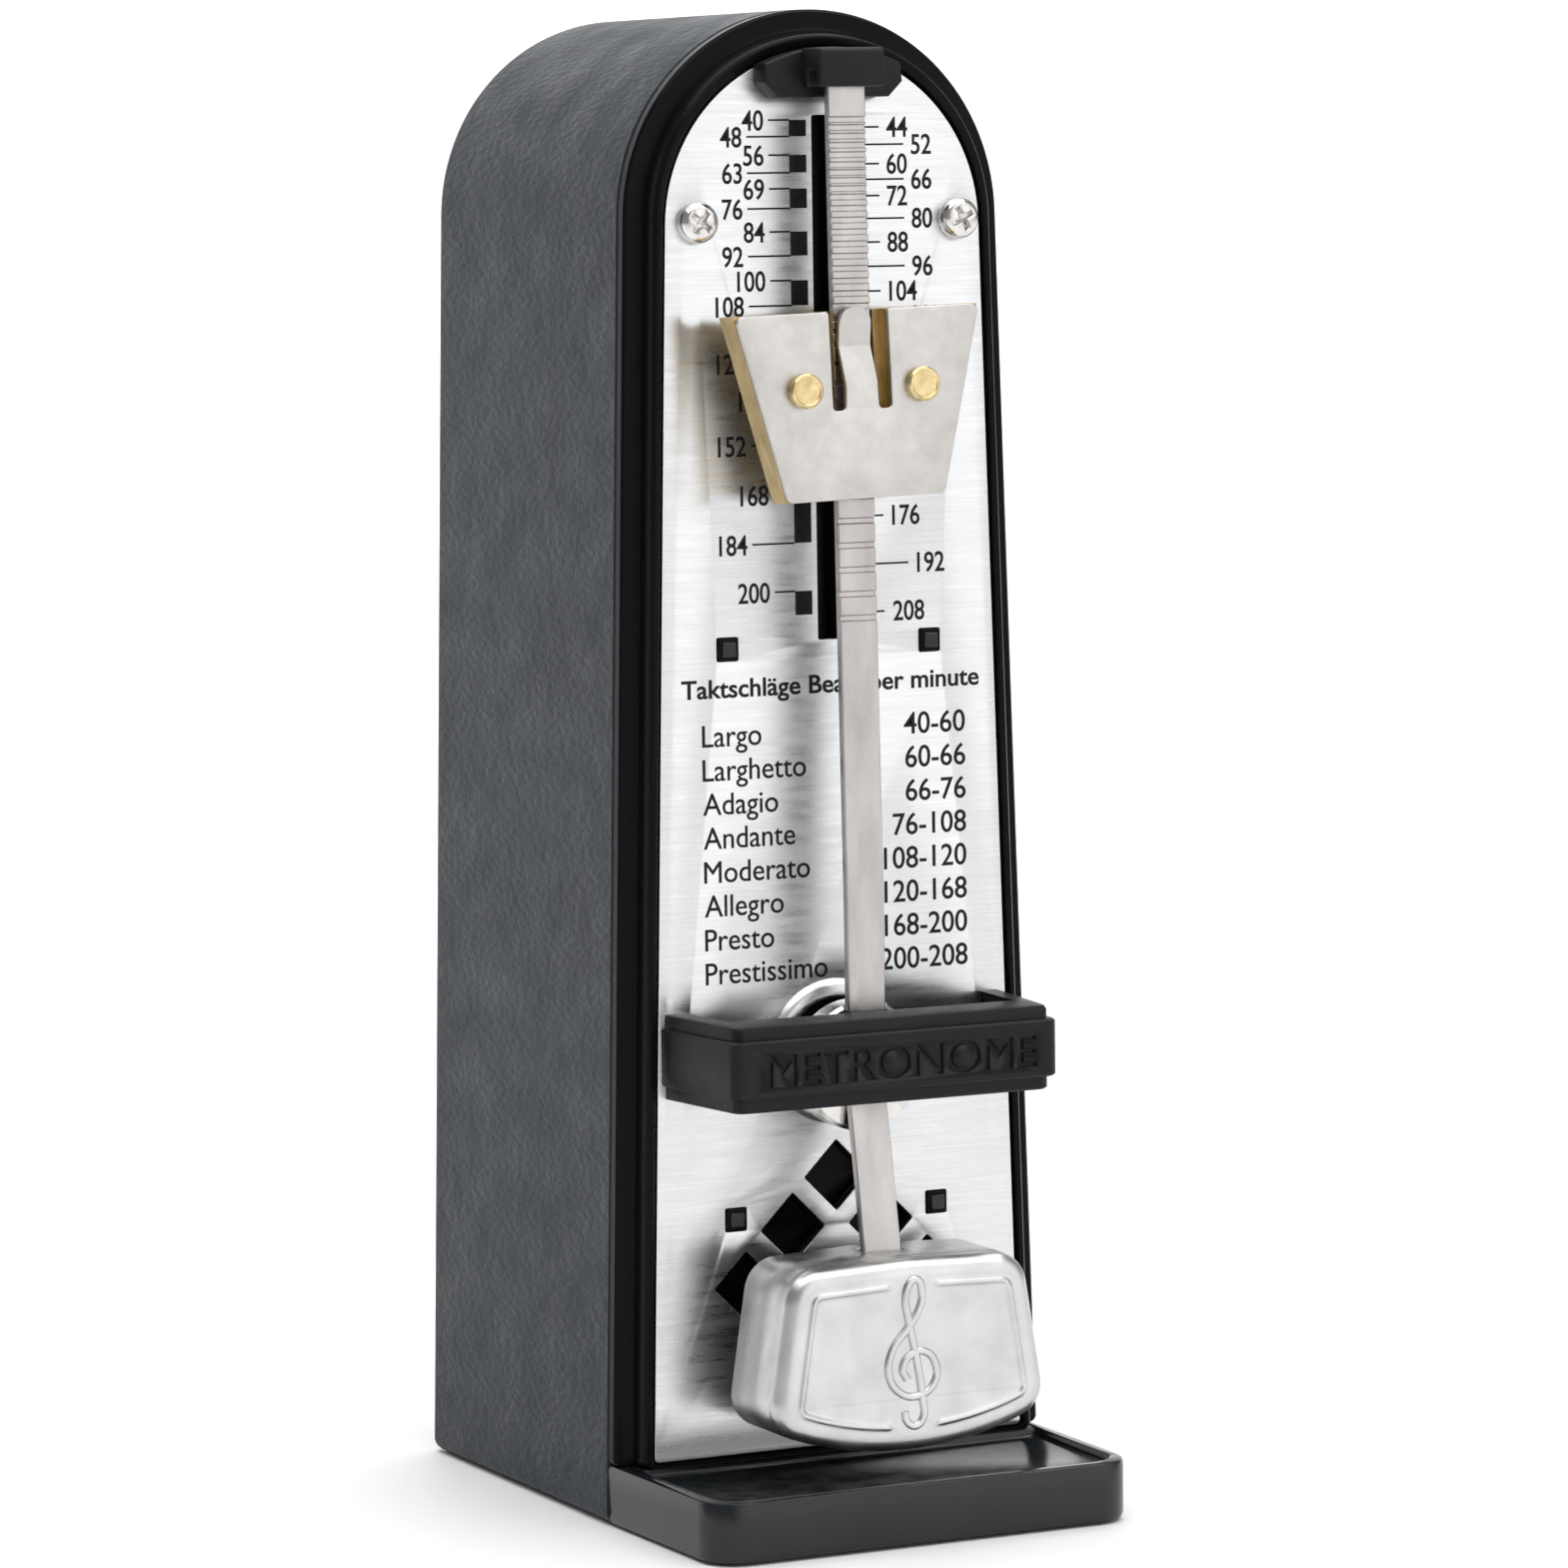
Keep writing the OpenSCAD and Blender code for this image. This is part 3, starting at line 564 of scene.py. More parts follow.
def front_frame():
    """Stepped frame with its lip, the panel behind the dial, bosses, pockets and pegs."""
    z = FRAME_Z
    profile = [((3.2, 3.2), PANEL_BACK), ((3.2, 3.2), 1.8), ((2.0, 2.0), 1.8), ((2.0, 2.0), 0),
               ((0.35, 0.35), 0), ((0.35, 0.35), -0.35), ((0.05, 0.15), -0.35), ((-0.1, 0.02), -0.5),
               ((-0.1, 0.02), -1.2), ((0.1, 0.2), -1.4), ((1.1, 1.25), -1.5),
               ((1.28, 1.5), -1.65), ((1.42, 1.78), -3.05),
               ((1.5, 1.88), -3.25), ((1.66, 2.05), LIP_Y), ((1.98, 2.55), LIP_Y), ((2.1, 2.7), -3.3),
               ((2.12, 2.75), PANEL_Y)]
    rings = []
    for (side, top), y in profile:
        foot = z if side < 1.9 or y > -2 else z + 0.2
        rings.append(at_y(arch(side, top, foot), y))
    body = loft("front_ring", rings)
    bosses = CASE_SCREWS
    cut(body, rods("case_bosses", bosses, 2.4, -2, 9.9), "UNION")
    cut(body, rods("pillar_bosses", PILLARS, 2.2, -2, 2), "UNION")
    cut(body, rods("dial_bosses", DIAL_SCREWS, 2.0, -2, 4), "UNION")
    cut(body, rods("screw_holes", bosses, 0.9, 3, 12))
    cut(body, rods("pillar_holes", PILLARS, 0.8, 0.2, 3))
    cut(body, rods("dial_holes", DIAL_SCREWS, 0.8, -4, 3))
    cut(body, rods("arbor_hole", [(0, PIVOT_Z)], SHAFT_R, -4, 1))
    deep = PANEL_Y + 1.1
    cut(body, slab("slot_tool", [rectangle(-SLOT[0], SLOT[1], SLOT[0], SLOT[2])], -4, deep, 0.001))
    for d in DIAMONDS:
        cut(body, slab("diamond_tool", [diamond(d, DIAMOND_R)], -4, deep, 0.001))
    parts = [dress(body, FRAME_PLASTIC)]
    for x, z in PEGS:
        base = slab("peg", [rectangle(x - 0.8, z - 0.8, x + 0.8, z + 0.8, 0.18)],
                    PLATE_Y - 0.16, PANEL_Y + 0.2, 0.07)
        head = slab("peg_head", [rectangle(x - 0.55, z - 0.55, x + 0.55, z + 0.55, 0.12)],
                    PLATE_Y - 0.36, PLATE_Y - 0.1, 0.1)
        parts += [dress(base, FRAME_PLASTIC), dress(head, TRAY_PLASTIC)]
    piece(join("front_ring_and_panel", parts), None, "case", "frame", "front_frame")


def diamond(c, r, corner=0.12):
    return rounded([(c[0], c[1] - r), (c[0] + r, c[1]), (c[0], c[1] + r), (c[0] - r, c[1])], corner, 3)


def tray_plan(d):
    """Plan of the foot tray, inset by d."""
    back, front, corner = 17.3 - d, 17.0 - d, max(3 - d, 0.4)
    y1 = TRAY[0][1] + d
    points = [(-back, -0.02), (-front, y1), (front, y1), (back, -0.02)]
    return rounded(points, [0.05, corner, corner, 0.05], 10)


def foot_tray():
    """Tray under the bob, with a sunk floor and two screw bores."""
    z0, z1 = TRAY[0][2], TRAY[1][2]
    deep = z1 - 0.6
    profile = [(0.5, z0), (0.12, z0 + 0.15), (0, z0 + 0.5), (0, z1 - 0.35), (0.1, z1 - 0.1), (0.3, z1)]
    tray = loft("foot", [at_z(tray_plan(d), z) for d, z in profile])
    floor = [(0.85, z1 + 0.5), (0.85, z1 - 0.05), (0.95, z1 - 0.18), (1.0, deep + 0.12), (1.15, deep)]
    tool = loft("floor_tool", [at_z(recess_plan(d), z) for d, z in floor])
    cut(tray, tool)
    bores = [(x, -1.5) for x in (-10, 10)]
    for r, high in ((0.7, 9), (1.2, z0 + 1)):
        for c in bores:
            cut(tray, slab("bore", [circle(c, r, 32)], -1, high, 0.001, "+Z"))
    piece(tray, TRAY_PLASTIC, "case", "tray", "foot_tray")


def recess_plan(d):
    """Plan of the tray's sunk floor, which stops short of the dial."""
    half, back_y, y1 = 17.15 - d, LIP_Y + 1.0 - d, TRAY[0][1] + d
    points = [(-half, back_y), (-half + 0.3, y1), (half - 0.3, y1), (half, back_y)]
    return rounded(points, [0.4, 2.1, 2.1, 0.4], 8)


def dial_plate():
    """The tempo dial: slotted and pierced plate with a turned collar round the arbor."""
    loops = [arch(*PLATE_INSET, PLATE[0][2], 0.35), rectangle(-SLOT[0], SLOT[1], SLOT[0], SLOT[2], 0.15),
             circle((0, COLLAR_Z), COLLAR_HOLE_R)]
    loops += [diamond(d, DIAMOND_R) for d in DIAMONDS]
    loops += [rectangle(x - 0.85, z - 0.85, x + 0.85, z + 0.85, 0.1) for x, z in PEGS]
    loops += [circle(c, 1.0, 32) for c in DIAL_SCREWS]
    plate = slab("dial", loops, PLATE_Y, PANEL_Y, 0.06)
    profile = [(COLLAR_HOLE_R, PLATE_Y + 0.1), (COLLAR_HOLE_R, PLATE_Y - 0.3), (4.15, PLATE_Y - 0.5),
               (4.7, PLATE_Y - 0.52), (5.05, PLATE_Y - 0.35), (5.25, PLATE_Y - 0.08),
               (COLLAR_R, PLATE_Y + 0.01)]
    collar = lathe("dial_collar", profile, [(0, COLLAR_Z)])
    open_ends(collar)
    plate = join("dial", [dress(plate, PLATE_METAL), dress(collar, PLATE_METAL)])
    upright_uv(plate)
    piece(plate, PLATE_METAL, "case", "plate", "scale_plate")


def open_ends(obj):
    """Turns a lathe's two flat end discs into one ring-shaped back face."""
    bm = bmesh.new()
    bm.from_mesh(obj.data)
    discs = [f for f in bm.faces if len(f.verts) > 4]
    bmesh.ops.delete(bm, geom=discs, context="FACES_ONLY")
    edges = [e for e in bm.edges if e.is_boundary]
    bmesh.ops.bridge_loops(bm, edges=edges)
    bmesh.ops.recalc_face_normals(bm, faces=bm.faces)
    for f in bm.faces:
        f.smooth = True
    bm.to_mesh(obj.data)
    bm.free()


def upright_uv(obj):
    """Maps U along the height, so that the metal's tangent runs across its brush lines."""
    layer = obj.data.uv_layers.new(name="UVMap")
    for poly in obj.data.polygons:
        for i in poly.loop_indices:
            co = obj.data.vertices[obj.data.loops[i].vertex_index].co
            layer.data[i].uv = (co.z * 8, co.x * 8)


def text_mesh(words, x, z, y, height, align="CENTER", narrow=0.72, width=None, thick=0.02,
              grow=0.0, bold=0.0):
    """Lettering on a face at y that looks towards -Y; height is that of a capital letter.

    grow widens the strokes by an offset, and bold by a bevel, which keeps a capital M whole.
    """
    curve = bpy.data.curves.new("words", "FONT")
    curve.body = words
    curve.size = 1.0
    curve.extrude = 0.5
    curve.offset = grow
    curve.bevel_depth = bold
    curve.bevel_resolution = 0
    curve.resolution_u = 5
    obj = bpy.data.objects.new("words", curve)
    bpy.context.scene.collection.objects.link(obj)
    bpy.context.view_layer.update()
    obj = evaluated(obj)
    capital = 0.7
    tall = height / capital
    xs = [v.co.x for v in obj.data.vertices]
    low, high = min(xs), max(xs)
    wide = width / (high - low) if width else tall * narrow
    anchor = {"LEFT": low, "RIGHT": high, "CENTER": (low + high) / 2}[align]
    for v in obj.data.vertices:
        v.co = ((v.co.x - anchor) * wide, (v.co.y - capital / 2) * tall, v.co.z * thick)
    turn = Matrix.Scale(MM, 4) @ Matrix.Translation((x, y, z)) @ FACING["-Y"]
    obj.data.transform(turn)
    return obj


def dial_print():
    """Ticks, squares, numbers and tempo names, as a thin layer of ink."""
    y = PLATE_Y - 0.012
    parts = []

    def bar(x0, x1, z0, z1):
        parts.append(slab("bar", [rectangle(min(x0, x1), z0, max(x0, x1), z1)], y - 0.008, y + 0.012, 0.001))

    inner, square_in, square_out = 2.69, 1.33, 2.69
    marks = LEFT_BEATS + [208]
    for a, b in list(zip(marks, marks[1:]))[::2]:
        for side in (-1, 1):
            bar(side * square_in, side * square_out, mark_z(b), mark_z(a))
    for side, beats in ((-1, LEFT_BEATS), (1, RIGHT_BEATS)):
        for i, b in enumerate(beats):
            z = mark_z(b)
            long_one = i % 2 == 1
            digits = len(str(b))
            near = (6.1 if long_one else 4.35) if side < 0 else (6.55 if long_one else 4.55)
            bar(side * inner, side * near, z - 0.07, z + 0.07)
            align = "RIGHT" if side < 0 else "LEFT"
            gap = 0.4 if side < 0 else 0.42 + 0.1 * digits
            parts.append(text_mesh(str(b), side * (near + gap), z, y, 1.45, align, 0.84, grow=0.012))
    parts.append(text_mesh("Taktschläge Beats per minute", 0.15, 61.2, y, 1.33, width=24.2, grow=0.018))
    for i, (name, span) in enumerate(TEMPI):
        z = 57.97 - i * 2.469
        parts.append(text_mesh(name, -10.35, z - 0.18, y, 1.6, "LEFT", 0.95, bold=0.004))
        parts.append(text_mesh(span, 11.06, z, y, 1.6, "RIGHT", 0.96, grow=0.008))
    for p in parts:
        dress(p, INK)
    piece(join("dial_print", parts), INK, "case", "plate")


def dial_screws():
    """Two cross-slotted pan heads that hold the dial."""
    y = PLATE_Y
    profile = [(0.8, 2.4), (0.8, y + 0.02), (1.4, y), (1.5, y - 0.1), (1.5, y - 0.6), (1.38, y - 0.9),
               (1.1, y - 1.12), (0.6, y - 1.23), (0.15, y - 1.25)]
    screws = lathe("dial_screws", profile, DIAL_SCREWS)
    for i, (x, z) in enumerate(DIAL_SCREWS):
        for k in (0, 1):
            t = math.radians(28 + 90 * k + 25 * i)
            along, across = Vector((math.cos(t), math.sin(t))), Vector((-math.sin(t), math.cos(t)))
            c = Vector((x, z))
            wide, narrow = 0.92, 0.23
            loop = [tuple(c + along * a * wide + across * b * narrow)
                    for a, b in ((-1, -1), (1, -1), (1, 1), (-1, 1))]
            cut(screws, slab("cross", [rounded(loop, 0.1, 3)], y - 2, y - 0.45, 0.001))
    piece(screws, CHROME, "case", "dial_screws", "plate_screws")


def name_bar():
    """Bridge across the front with two narrower ledges and an engraved generic word."""
    z = BAR[0][2]
    ledge, band = 1.0, 4.2
    top = BAR[1][2]

    def plan(d):
        side, slope = 1.5, 0.095
        base, front, y = 14 - d * 0.6, 13.07, BAR[0][1]
        back = y + 4
        inner = 1.5
        corner = front - d * (1 - slope)
        points = [(-base, PLATE_Y), (-corner, y + d), (corner, y + d), (base, PLATE_Y),
                  (base - side, PLATE_Y), (front - inner, back), (-front + inner, back),
                  (-base + side, PLATE_Y)]
        return rounded(points, [0.05, 0.9, 0.9, 0.05, 0.05, 0.3, 0.3, 0.05], 6)

    e, inset = 0.14, 0.5
    profile = [(inset + e, z), (inset, z + e), (inset, z + ledge), (e, z + ledge), (0, z + ledge + e),
               (0, top - ledge - e), (e, top - ledge), (inset, top - ledge), (inset, top - 0.35),
               (inset + 0.15, top - 0.08), (inset + 0.4, top)]
    bar = loft("name_bar_body", [at_z(plan(d), h) for d, h in profile], smooth=40)
    word_z = z + ledge + band / 2 - 0.1
    cut(bar, text_mesh("METRONOME", 0.45, word_z, BAR[0][1], 2.35, width=21.6, thick=0.5))
    piece(bar, BAR_PLASTIC, "case", "bar", "name_bar")


def rod_catch():
    """Catch under the crown: a base against the dial and the hook for the rod's tip."""
    z0, top = CATCH[0][2], CATCH[1][2]
    half, hook = 5.5, 2.57
    crown = arch(2.15, 2.8, 50)
    roof = [p for p in crown if p[1] > z0 + 1.3 and abs(p[0]) < half]
    outline = [(-half, roof[-1][1]), (-half, z0 + 1.1), (-half + 1.1, z0), (half - 1.1, z0),
               (half, z0 + 1.1)] + roof
    base = slab("catch_base", [outline], -5.3, PLATE_Y + 0.01, 0.16)
    back, throat, lip, front, roof_z = -5.2, -6.1, -7.5, -8.2, top - 0.1
    low, gap_z = z0 + 0.7, 105.65
    profile = [(back, low), (throat, low), (throat, gap_z), (lip, gap_z), (lip, low), (front, low),
               (front, roof_z), (back, roof_z)]
    radii = [0.05, 0.25, 0.2, 0.2, 0.12, 0.2, 0.45, 0.05]
    loop = rounded([(-y, z) for y, z in profile], radii, 4)
    hook_part = slab("catch_hook", [[(-y, z) for y, z in loop]], -hook, hook, 0.14, "+X")
    catch = join("catch", [dress(base, FRAME_PLASTIC), dress(hook_part, FRAME_PLASTIC)])
    piece(catch, BAR_PLASTIC, "case", "catch", "rod_catch")


# ---- pendulum ----

def rod_ring(y, z, tilt, depth=0.0, half=1.5, thick=ROD_THICK, edge=0.09):
    """Cross-section of the rod with softened edges; depth sinks its front face."""
    points = [(-half + edge, depth), (half - edge, depth), (half, depth + edge), (half, thick - edge),
              (half - edge, thick), (-half + edge, thick), (-half, thick - edge), (-half, depth + edge)]
    back, up = Vector((0, math.cos(tilt), -math.sin(tilt))), Vector((0, y, z))
    return [tuple(up + Vector((x, 0, 0)) + back * d) for x, d in points]


def pendulum_rod():
    """Flat strip, stepped back below the joggle, with a groove across it at each tempo mark."""
    front, joggle_z = ROD_FRONT, JOGGLE_Z
    foot_y, foot_z = ROD[0][1], ROD[0][2]
    tilt = math.atan2(front - foot_y, joggle_z - foot_z)
    rings = [rod_ring(foot_y + 0.02, foot_z + 0.05, tilt)]
    for k in range(1, 5):
        t = k / 5 * 0.97
        rings.append(rod_ring(foot_y + (front - foot_y) * t, foot_z + (joggle_z - foot_z) * t, tilt))
    rings += [rod_ring(front - 0.03, joggle_z - 0.4, tilt * 0.7), rod_ring(front, joggle_z + 0.4, tilt * 0.2),
              rod_ring(front, 36, 0), rod_ring(front, BEND_Z - 0.8, 0)]

    def leaning(z, depth=0.0):
        rings.append(rod_ring(front + (z - BEND_Z) * math.tan(ROD_LEAN), z, ROD_LEAN, depth))

    leaning(BEND_Z + 0.8)
    leaning(58)
    groove, slope, deep = 0.2, 0.1, 0.16
    for b in sorted(LEFT_BEATS + RIGHT_BEATS, reverse=True):
        z = mark_z(b)
        leaning(z - groove - slope)
        leaning(z - groove, deep)
        leaning(z + groove - slope, deep)
        leaning(z + groove)
    leaning(ROD[1][2] - 0.12)
    piece(loft("rod_strip", rings, smooth=28), ROD_NICKEL, "pendulum", "rod", "pendulum_rod")


def rod_hub():
    """Turned disc that carries the rod on the pendulum arbor."""
    y = ROD_FRONT + ROD_THICK
    profile = [(1.2, -2.4), (2.2, -2.5), (2.2, -5.6), (HUB_R - 0.2, -5.6), (HUB_R, -5.8), (HUB_R, y + 0.25),
               (HUB_R - 0.25, y + 0.05), (3.0, y + 0.01), (0.4, y + 0.01)]
    hub = lathe("hub_disc", profile, [(0, PIVOT_Z)])
    cut(hub, rods("arbor_tool", [(0, PIVOT_Z)], 1.2, -5.6, 1))
    piece(hub, CHROME, "pendulum", "hub", "rod_hub")


def bob_outline():
    """The bob's outline: arched foot about the pendulum axis, leaning sides, gently arched crown."""
    top, low, spread, corner = 20.2, 8.75, 0.158, 2.6
    high_x, low_x = 9.75 + (18.1 - top) * spread, 9.75 + (18.1 - low) * spread
    r = PIVOT_Z - BOB[0][2]
    foot = [(r * math.sin(math.radians(t)), PIVOT_Z - r * math.cos(math.radians(t)))
            for t in [-17.5 + 2.5 * i for i in range(15)]]
    crown = (0.0, top + 0.35)
    points = [crown] + fillet(crown, (-high_x, top), (-low_x, low), corner, 10)
    points += fillet((-high_x, top), (-low_x, low), foot[0], corner, 10) + foot
    points += fillet(foot[-1], (low_x, low), (high_x, top), corner, 10)
    points += fillet((low_x, low), (high_x, top), crown, corner, 10)
    return points


def bob():
    """Pressed bob casing: rounded front edge, a raised bead with two gaps, and an embossed clef."""
    ring = resample(bob_outline(), 288)
    y0, back, wall = BOB[0][1], BOB[1][1], 0.7
    face = y0 + 0.22
    edge = 1.25
    rings = [at_y(inset_ring(ring, wall), y0 + wall + 0.25), at_y(inset_ring(ring, wall), back + 0.02),
             at_y(inset_ring(ring, 0.12), back), at_y(ring, back - 0.15), at_y(ring, face + edge + 0.35),
             at_y(inset_ring(ring, 0.05), face + edge + 0.25), at_y(inset_ring(ring, 0.02), face + edge)]
    for i in range(1, 8):
        t = math.pi / 2 * i / 7
        inwards = 0.02 + edge - edge * math.cos(t)
        rings.append(at_y(inset_ring(ring, inwards), face + edge - edge * math.sin(t)))
    bead_in, bead_w, bead_h = 1.92, 0.34, 0.2
    gap = 1.7
    for i in range(13):
        s = -1.5 + 3.0 * i / 12
        height = bead_h * math.exp(-(s * 1.25) ** 2 * 1.6)
        d = bead_in + s * bead_w
        row = []
        for x, z in inset_ring(ring, d):
            end = min(1.0, max(0.0, (abs(x) - gap) / 0.25))
            fade = end * end * (3 - 2 * end)
            row.append((x, face - height * fade, z))
        rings.append(row)
    casing = loft("bob_casing", rings, smooth=50)
    slot_z = 20.0
    share = (slot_z - ROD_FOOT[1]) / (JOGGLE_Z - ROD_FOOT[1])
    rod_y = ROD_FOOT[0] + (ROD_FRONT - ROD_FOOT[0]) * share
    slot = slab("rod_slot", [rectangle(-1.65, rod_y - 0.45, 1.65, rod_y + 1.0, 0.2)], 17.5, 23, 0.001, "+Z")
    cut(casing, slot)
    piece(casing, BOB_NICKEL, "pendulum", "bob", "bob_shell")

    clef = [(-0.72, 9.45), (-0.5, 8.65), (0.2, 8.35), (0.78, 8.95), (0.72, 10.3), (0.25, 13.4),
            (-0.35, 16.2), (-0.55, 17.6), (-0.2, 18.75), (0.35, 19.0), (0.78, 18.0), (0.55, 16.9),
            (-0.5, 15.4), (-1.7, 13.9), (-1.95, 12.2), (-1.1, 10.85), (0.35, 10.5), (1.65, 11.3),
            (1.8, 12.75), (0.9, 13.7), (-0.25, 13.5), (-0.85, 12.6), (-0.5, 11.75)]
    emboss = tube("bob_clef", clef, face - 0.02, 0.3, 0.75)
    piece(emboss, BOB_NICKEL, "pendulum", "bob")


def tube(name, path, y, radius, flat):
    """A smooth round bead through (x, z) points, flattened along Y."""
    curve = bpy.data.curves.new(name, "CURVE")
    curve.dimensions = "3D"
    curve.resolution_u = 8
    curve.bevel_depth = radius
    curve.bevel_resolution = 3
    curve.use_fill_caps = True
    spline = curve.splines.new("BEZIER")
    spline.bezier_points.add(len(path) - 1)
    for point, (x, z) in zip(spline.bezier_points, path):
        point.co = (x, 0, z)
        point.handle_left_type = point.handle_right_type = "AUTO"
    obj = bpy.data.objects.new(name, curve)
    bpy.context.scene.collection.objects.link(obj)
    bpy.context.view_layer.update()
    obj = evaluated(obj)
    for v in obj.data.vertices:
        v.co = (v.co.x * MM, (y + v.co.y * flat) * MM, v.co.z * MM)
    for p in obj.data.polygons:
        p.use_smooth = True
    return obj


# ---- sliding weight ----

def on_rod(obj):
    """Leans a piece, made at the rod's front face with the weight's top edge at z 0, onto the rod."""
    top = mark_z(SET_BEATS)
    y = ROD_FRONT + (top - BEND_Z) * math.tan(ROD_LEAN)
    middle = Vector((0, 0, -WEIGHT_H / 2 * MM))
    tilt = Matrix.Rotation(-WEIGHT_TILT, 4, "Y")
    askew = Matrix.Translation(middle) @ tilt @ Matrix.Translation(-middle)
    turn = Matrix.Translation((0, y * MM, top * MM)) @ Matrix.Rotation(-ROD_LEAN, 4, "X") @ askew
    obj.data.transform(turn)
    return obj


def weight():
    """Front plate of the sliding weight with its sprung tongue, and the two rivets."""
    top, bottom, tall, front, thick = 9.8, 6.3, WEIGHT_H, -1.45, 0.4
    tongue, slot_x, slot_z, root = 1.3, 2.35, -7.1, -5.2
    e = 0.1
    outline = [(-bottom, -tall), (bottom, -tall), (top, 0), (slot_x, 0), (slot_x, slot_z),
               (tongue + 0.05, slot_z), (tongue, root), (-tongue, root), (-tongue - 0.05, slot_z),
               (-slot_x, slot_z), (-slot_x, 0), (-top, 0)]
    radii = [0.5, 0.5, 0.5, 0.25, 0.3, 0.3, 0.02, 0.02, 0.3, 0.3, 0.25, 0.5]
    plate = slab("weight_front", [rounded(outline, radii, 4)], front, front + thick, e)
    rings = []
    dip, tip, deepest = -2.5, 0.3, 0.9
    for k in range(25):
        z = root - 0.2 + (tip - root + 0.2) * k / 24
        if z < dip:
            y = front + deepest * max(0.0, (z - root) / (dip - root))
        else:
            y = front + deepest - 0.55 * (z - dip) / (tip - dip)
        round_from = tip - tongue
        past = max(0.0, z - round_from) / tongue
        half = tongue * math.sqrt(max(0.03, 1 - past ** 2))
        rings.append([(-half, y + 0.05, z), (-half + 0.05, y, z), (half - 0.05, y, z), (half, y + 0.05, z),
                      (half, y + thick - 0.05, z), (half - 0.05, y + thick, z), (-half + 0.05, y + thick, z),
                      (-half, y + thick - 0.05, z)])
    spring = loft("weight_tongue", rings, smooth=20)
    plate = join("weight_front", [dress(plate, WEIGHT_NICKEL), dress(spring, WEIGHT_NICKEL)])
    piece(on_rod(plate), WEIGHT_NICKEL, "tempo_weight", "weight_plate", "weight_spring_plate")
    rivet = [(0.8, 0.3), (0.8, front + 0.05), (1.15, front + 0.02), (1.25, front - 0.06),
             (1.25, front - 0.68), (1.15, front - 0.79), (1.02, front - 0.8),
             (0.95, front - 0.74), (0.1, front - 0.72)]
    rivets = lathe("rivets", rivet, [(x * 4.7, -5.55) for x in (-1, 1)])
    piece(on_rod(rivets), RIVET_BRASS, "tempo_weight", "weight_rivets", "weight_rivets")


# ---- winding key ----

def winding_key():
    """Key with a round hub and a flat, pierced two-lobed wing."""
    y0, y1 = KEY[0][1], KEY[1][1]
    wing_y, wing_r, reach = y1 - 3.8, 3.8, 5.0
    z = BARREL_Z
    profile = [(2.6, y0), (2.9, y0 + 0.25), (2.9, y0 + 4.4), (2.5, y0 + 4.95), (0.6, y0 + 5.1)]
    hub = lathe("key_hub", profile, [(0, z)])
    cut(hub, rods("socket", [(0, z)], 1.0, y0 - 1, y0 + 3.4))
    outline = key_outline(y0 + 2.5, wing_y, wing_r, reach)
    holes = [circle((side * 5.2, wing_y), 1.7, 32) for side in (-1, 1)]
    wing = slab("key_wing", [outline] + holes, z - 0.9, z + 0.9, 0.28, "+Z")
    key = join("key", [dress(hub, CHROME), dress(wing, CHROME)])
    piece(key, CHROME, "winding", "key", "winding_key")


def key_outline(foot, wing_y, r, reach):
    """Outline of a two-lobed key wing."""
    right = [(reach + r * math.cos(t), wing_y + r * math.sin(t))
             for t in [math.radians(-125 + 250 * i / 26) for i in range(27)]]
    left = [(-x, y) for x, y in reversed(right)]
    return [(-2.2, foot), (2.2, foot)] + right + [(0.9, wing_y + 1.9), (-0.9, wing_y + 1.9)] + left


# ---- CAD nodes that stay, with better materials ----

KEPT = {
    "base_pad": RUBBER, "case_screws": STEEL, "foot_screws": STEEL, "front_movement_plate": CLOCK_BRASS,
    "rear_movement_plate": CLOCK_BRASS, "movement_pillars": CLOCK_BRASS, "movement_screws": STEEL,
    "click_stud": STEEL, "click_spring": BLUED, "arbor_bushes": BRONZE, "pendulum_arbor": STEEL,
    "pallet_anchor": STEEL, "bob_core": IRON, "weight_body": BRASS, "barrel_arbor": STEEL,
    "ratchet_wheel": STEEL, "click": STEEL, "spring_barrel": CLOCK_BRASS, "barrel_cover": CLOCK_BRASS,
    "mainspring": BLUED, "intermediate_wheel": CLOCK_BRASS, "intermediate_pinion": STEEL,
    "escape_wheel": CLOCK_BRASS, "escape_pinion": STEEL,
}


def kept_nodes():
    """Gives the CAD nodes that stay their procedural materials."""
    for name, material in KEPT.items():
        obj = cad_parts[name]
        for slot in obj.material_slots:
            slot.material = material


# ---- stage, light and camera ----

def stage():
    """A pale floor that sweeps up behind the object."""
    z0, far, high, r = 0.0, 900.0, 900.0, 300.0
    side = 1800.0
    quarter = [math.pi / 2 * i / 24 for i in range(25)]
    bend = [(far + r * math.sin(t), z0 + r - r * math.cos(t)) for t in quarter]
    path = [(-1400.0, z0)] + bend + [(far + r, high)]
    bm = bmesh.new()
    rows = [[bm.verts.new((x, y, z)) for x in (-side, side)] for y, z in path]
    for a, b in zip(rows, rows[1:]):
        bm.faces.new((a[0], a[1], b[1], b[0]))
    floor = finish_mesh("floor", bm)
    s = Shader("pale_floor", (0.86, 0.86, 0.86), roughness=0.6)
    s.tint(s.noise(0.004, 2), (0.85, 0.85, 0.85), (0.87, 0.87, 0.87))
    dress(floor, s.done())


def area_light(name, place, target, width, height, power, color=(1, 1, 1)):
    light = bpy.data.lights.new(name, "AREA")
    light.shape = "RECTANGLE"
    light.size, light.size_y = width * MM, height * MM
    light.energy = power
    light.color = color
    obj = bpy.data.objects.new(name, light)
    bpy.context.scene.collection.objects.link(obj)
    place, target = Vector(place) * MM, Vector(target) * MM
    obj.location = place
    obj.rotation_euler = (target - place).to_track_quat("-Z", "Y").to_euler()
    return obj


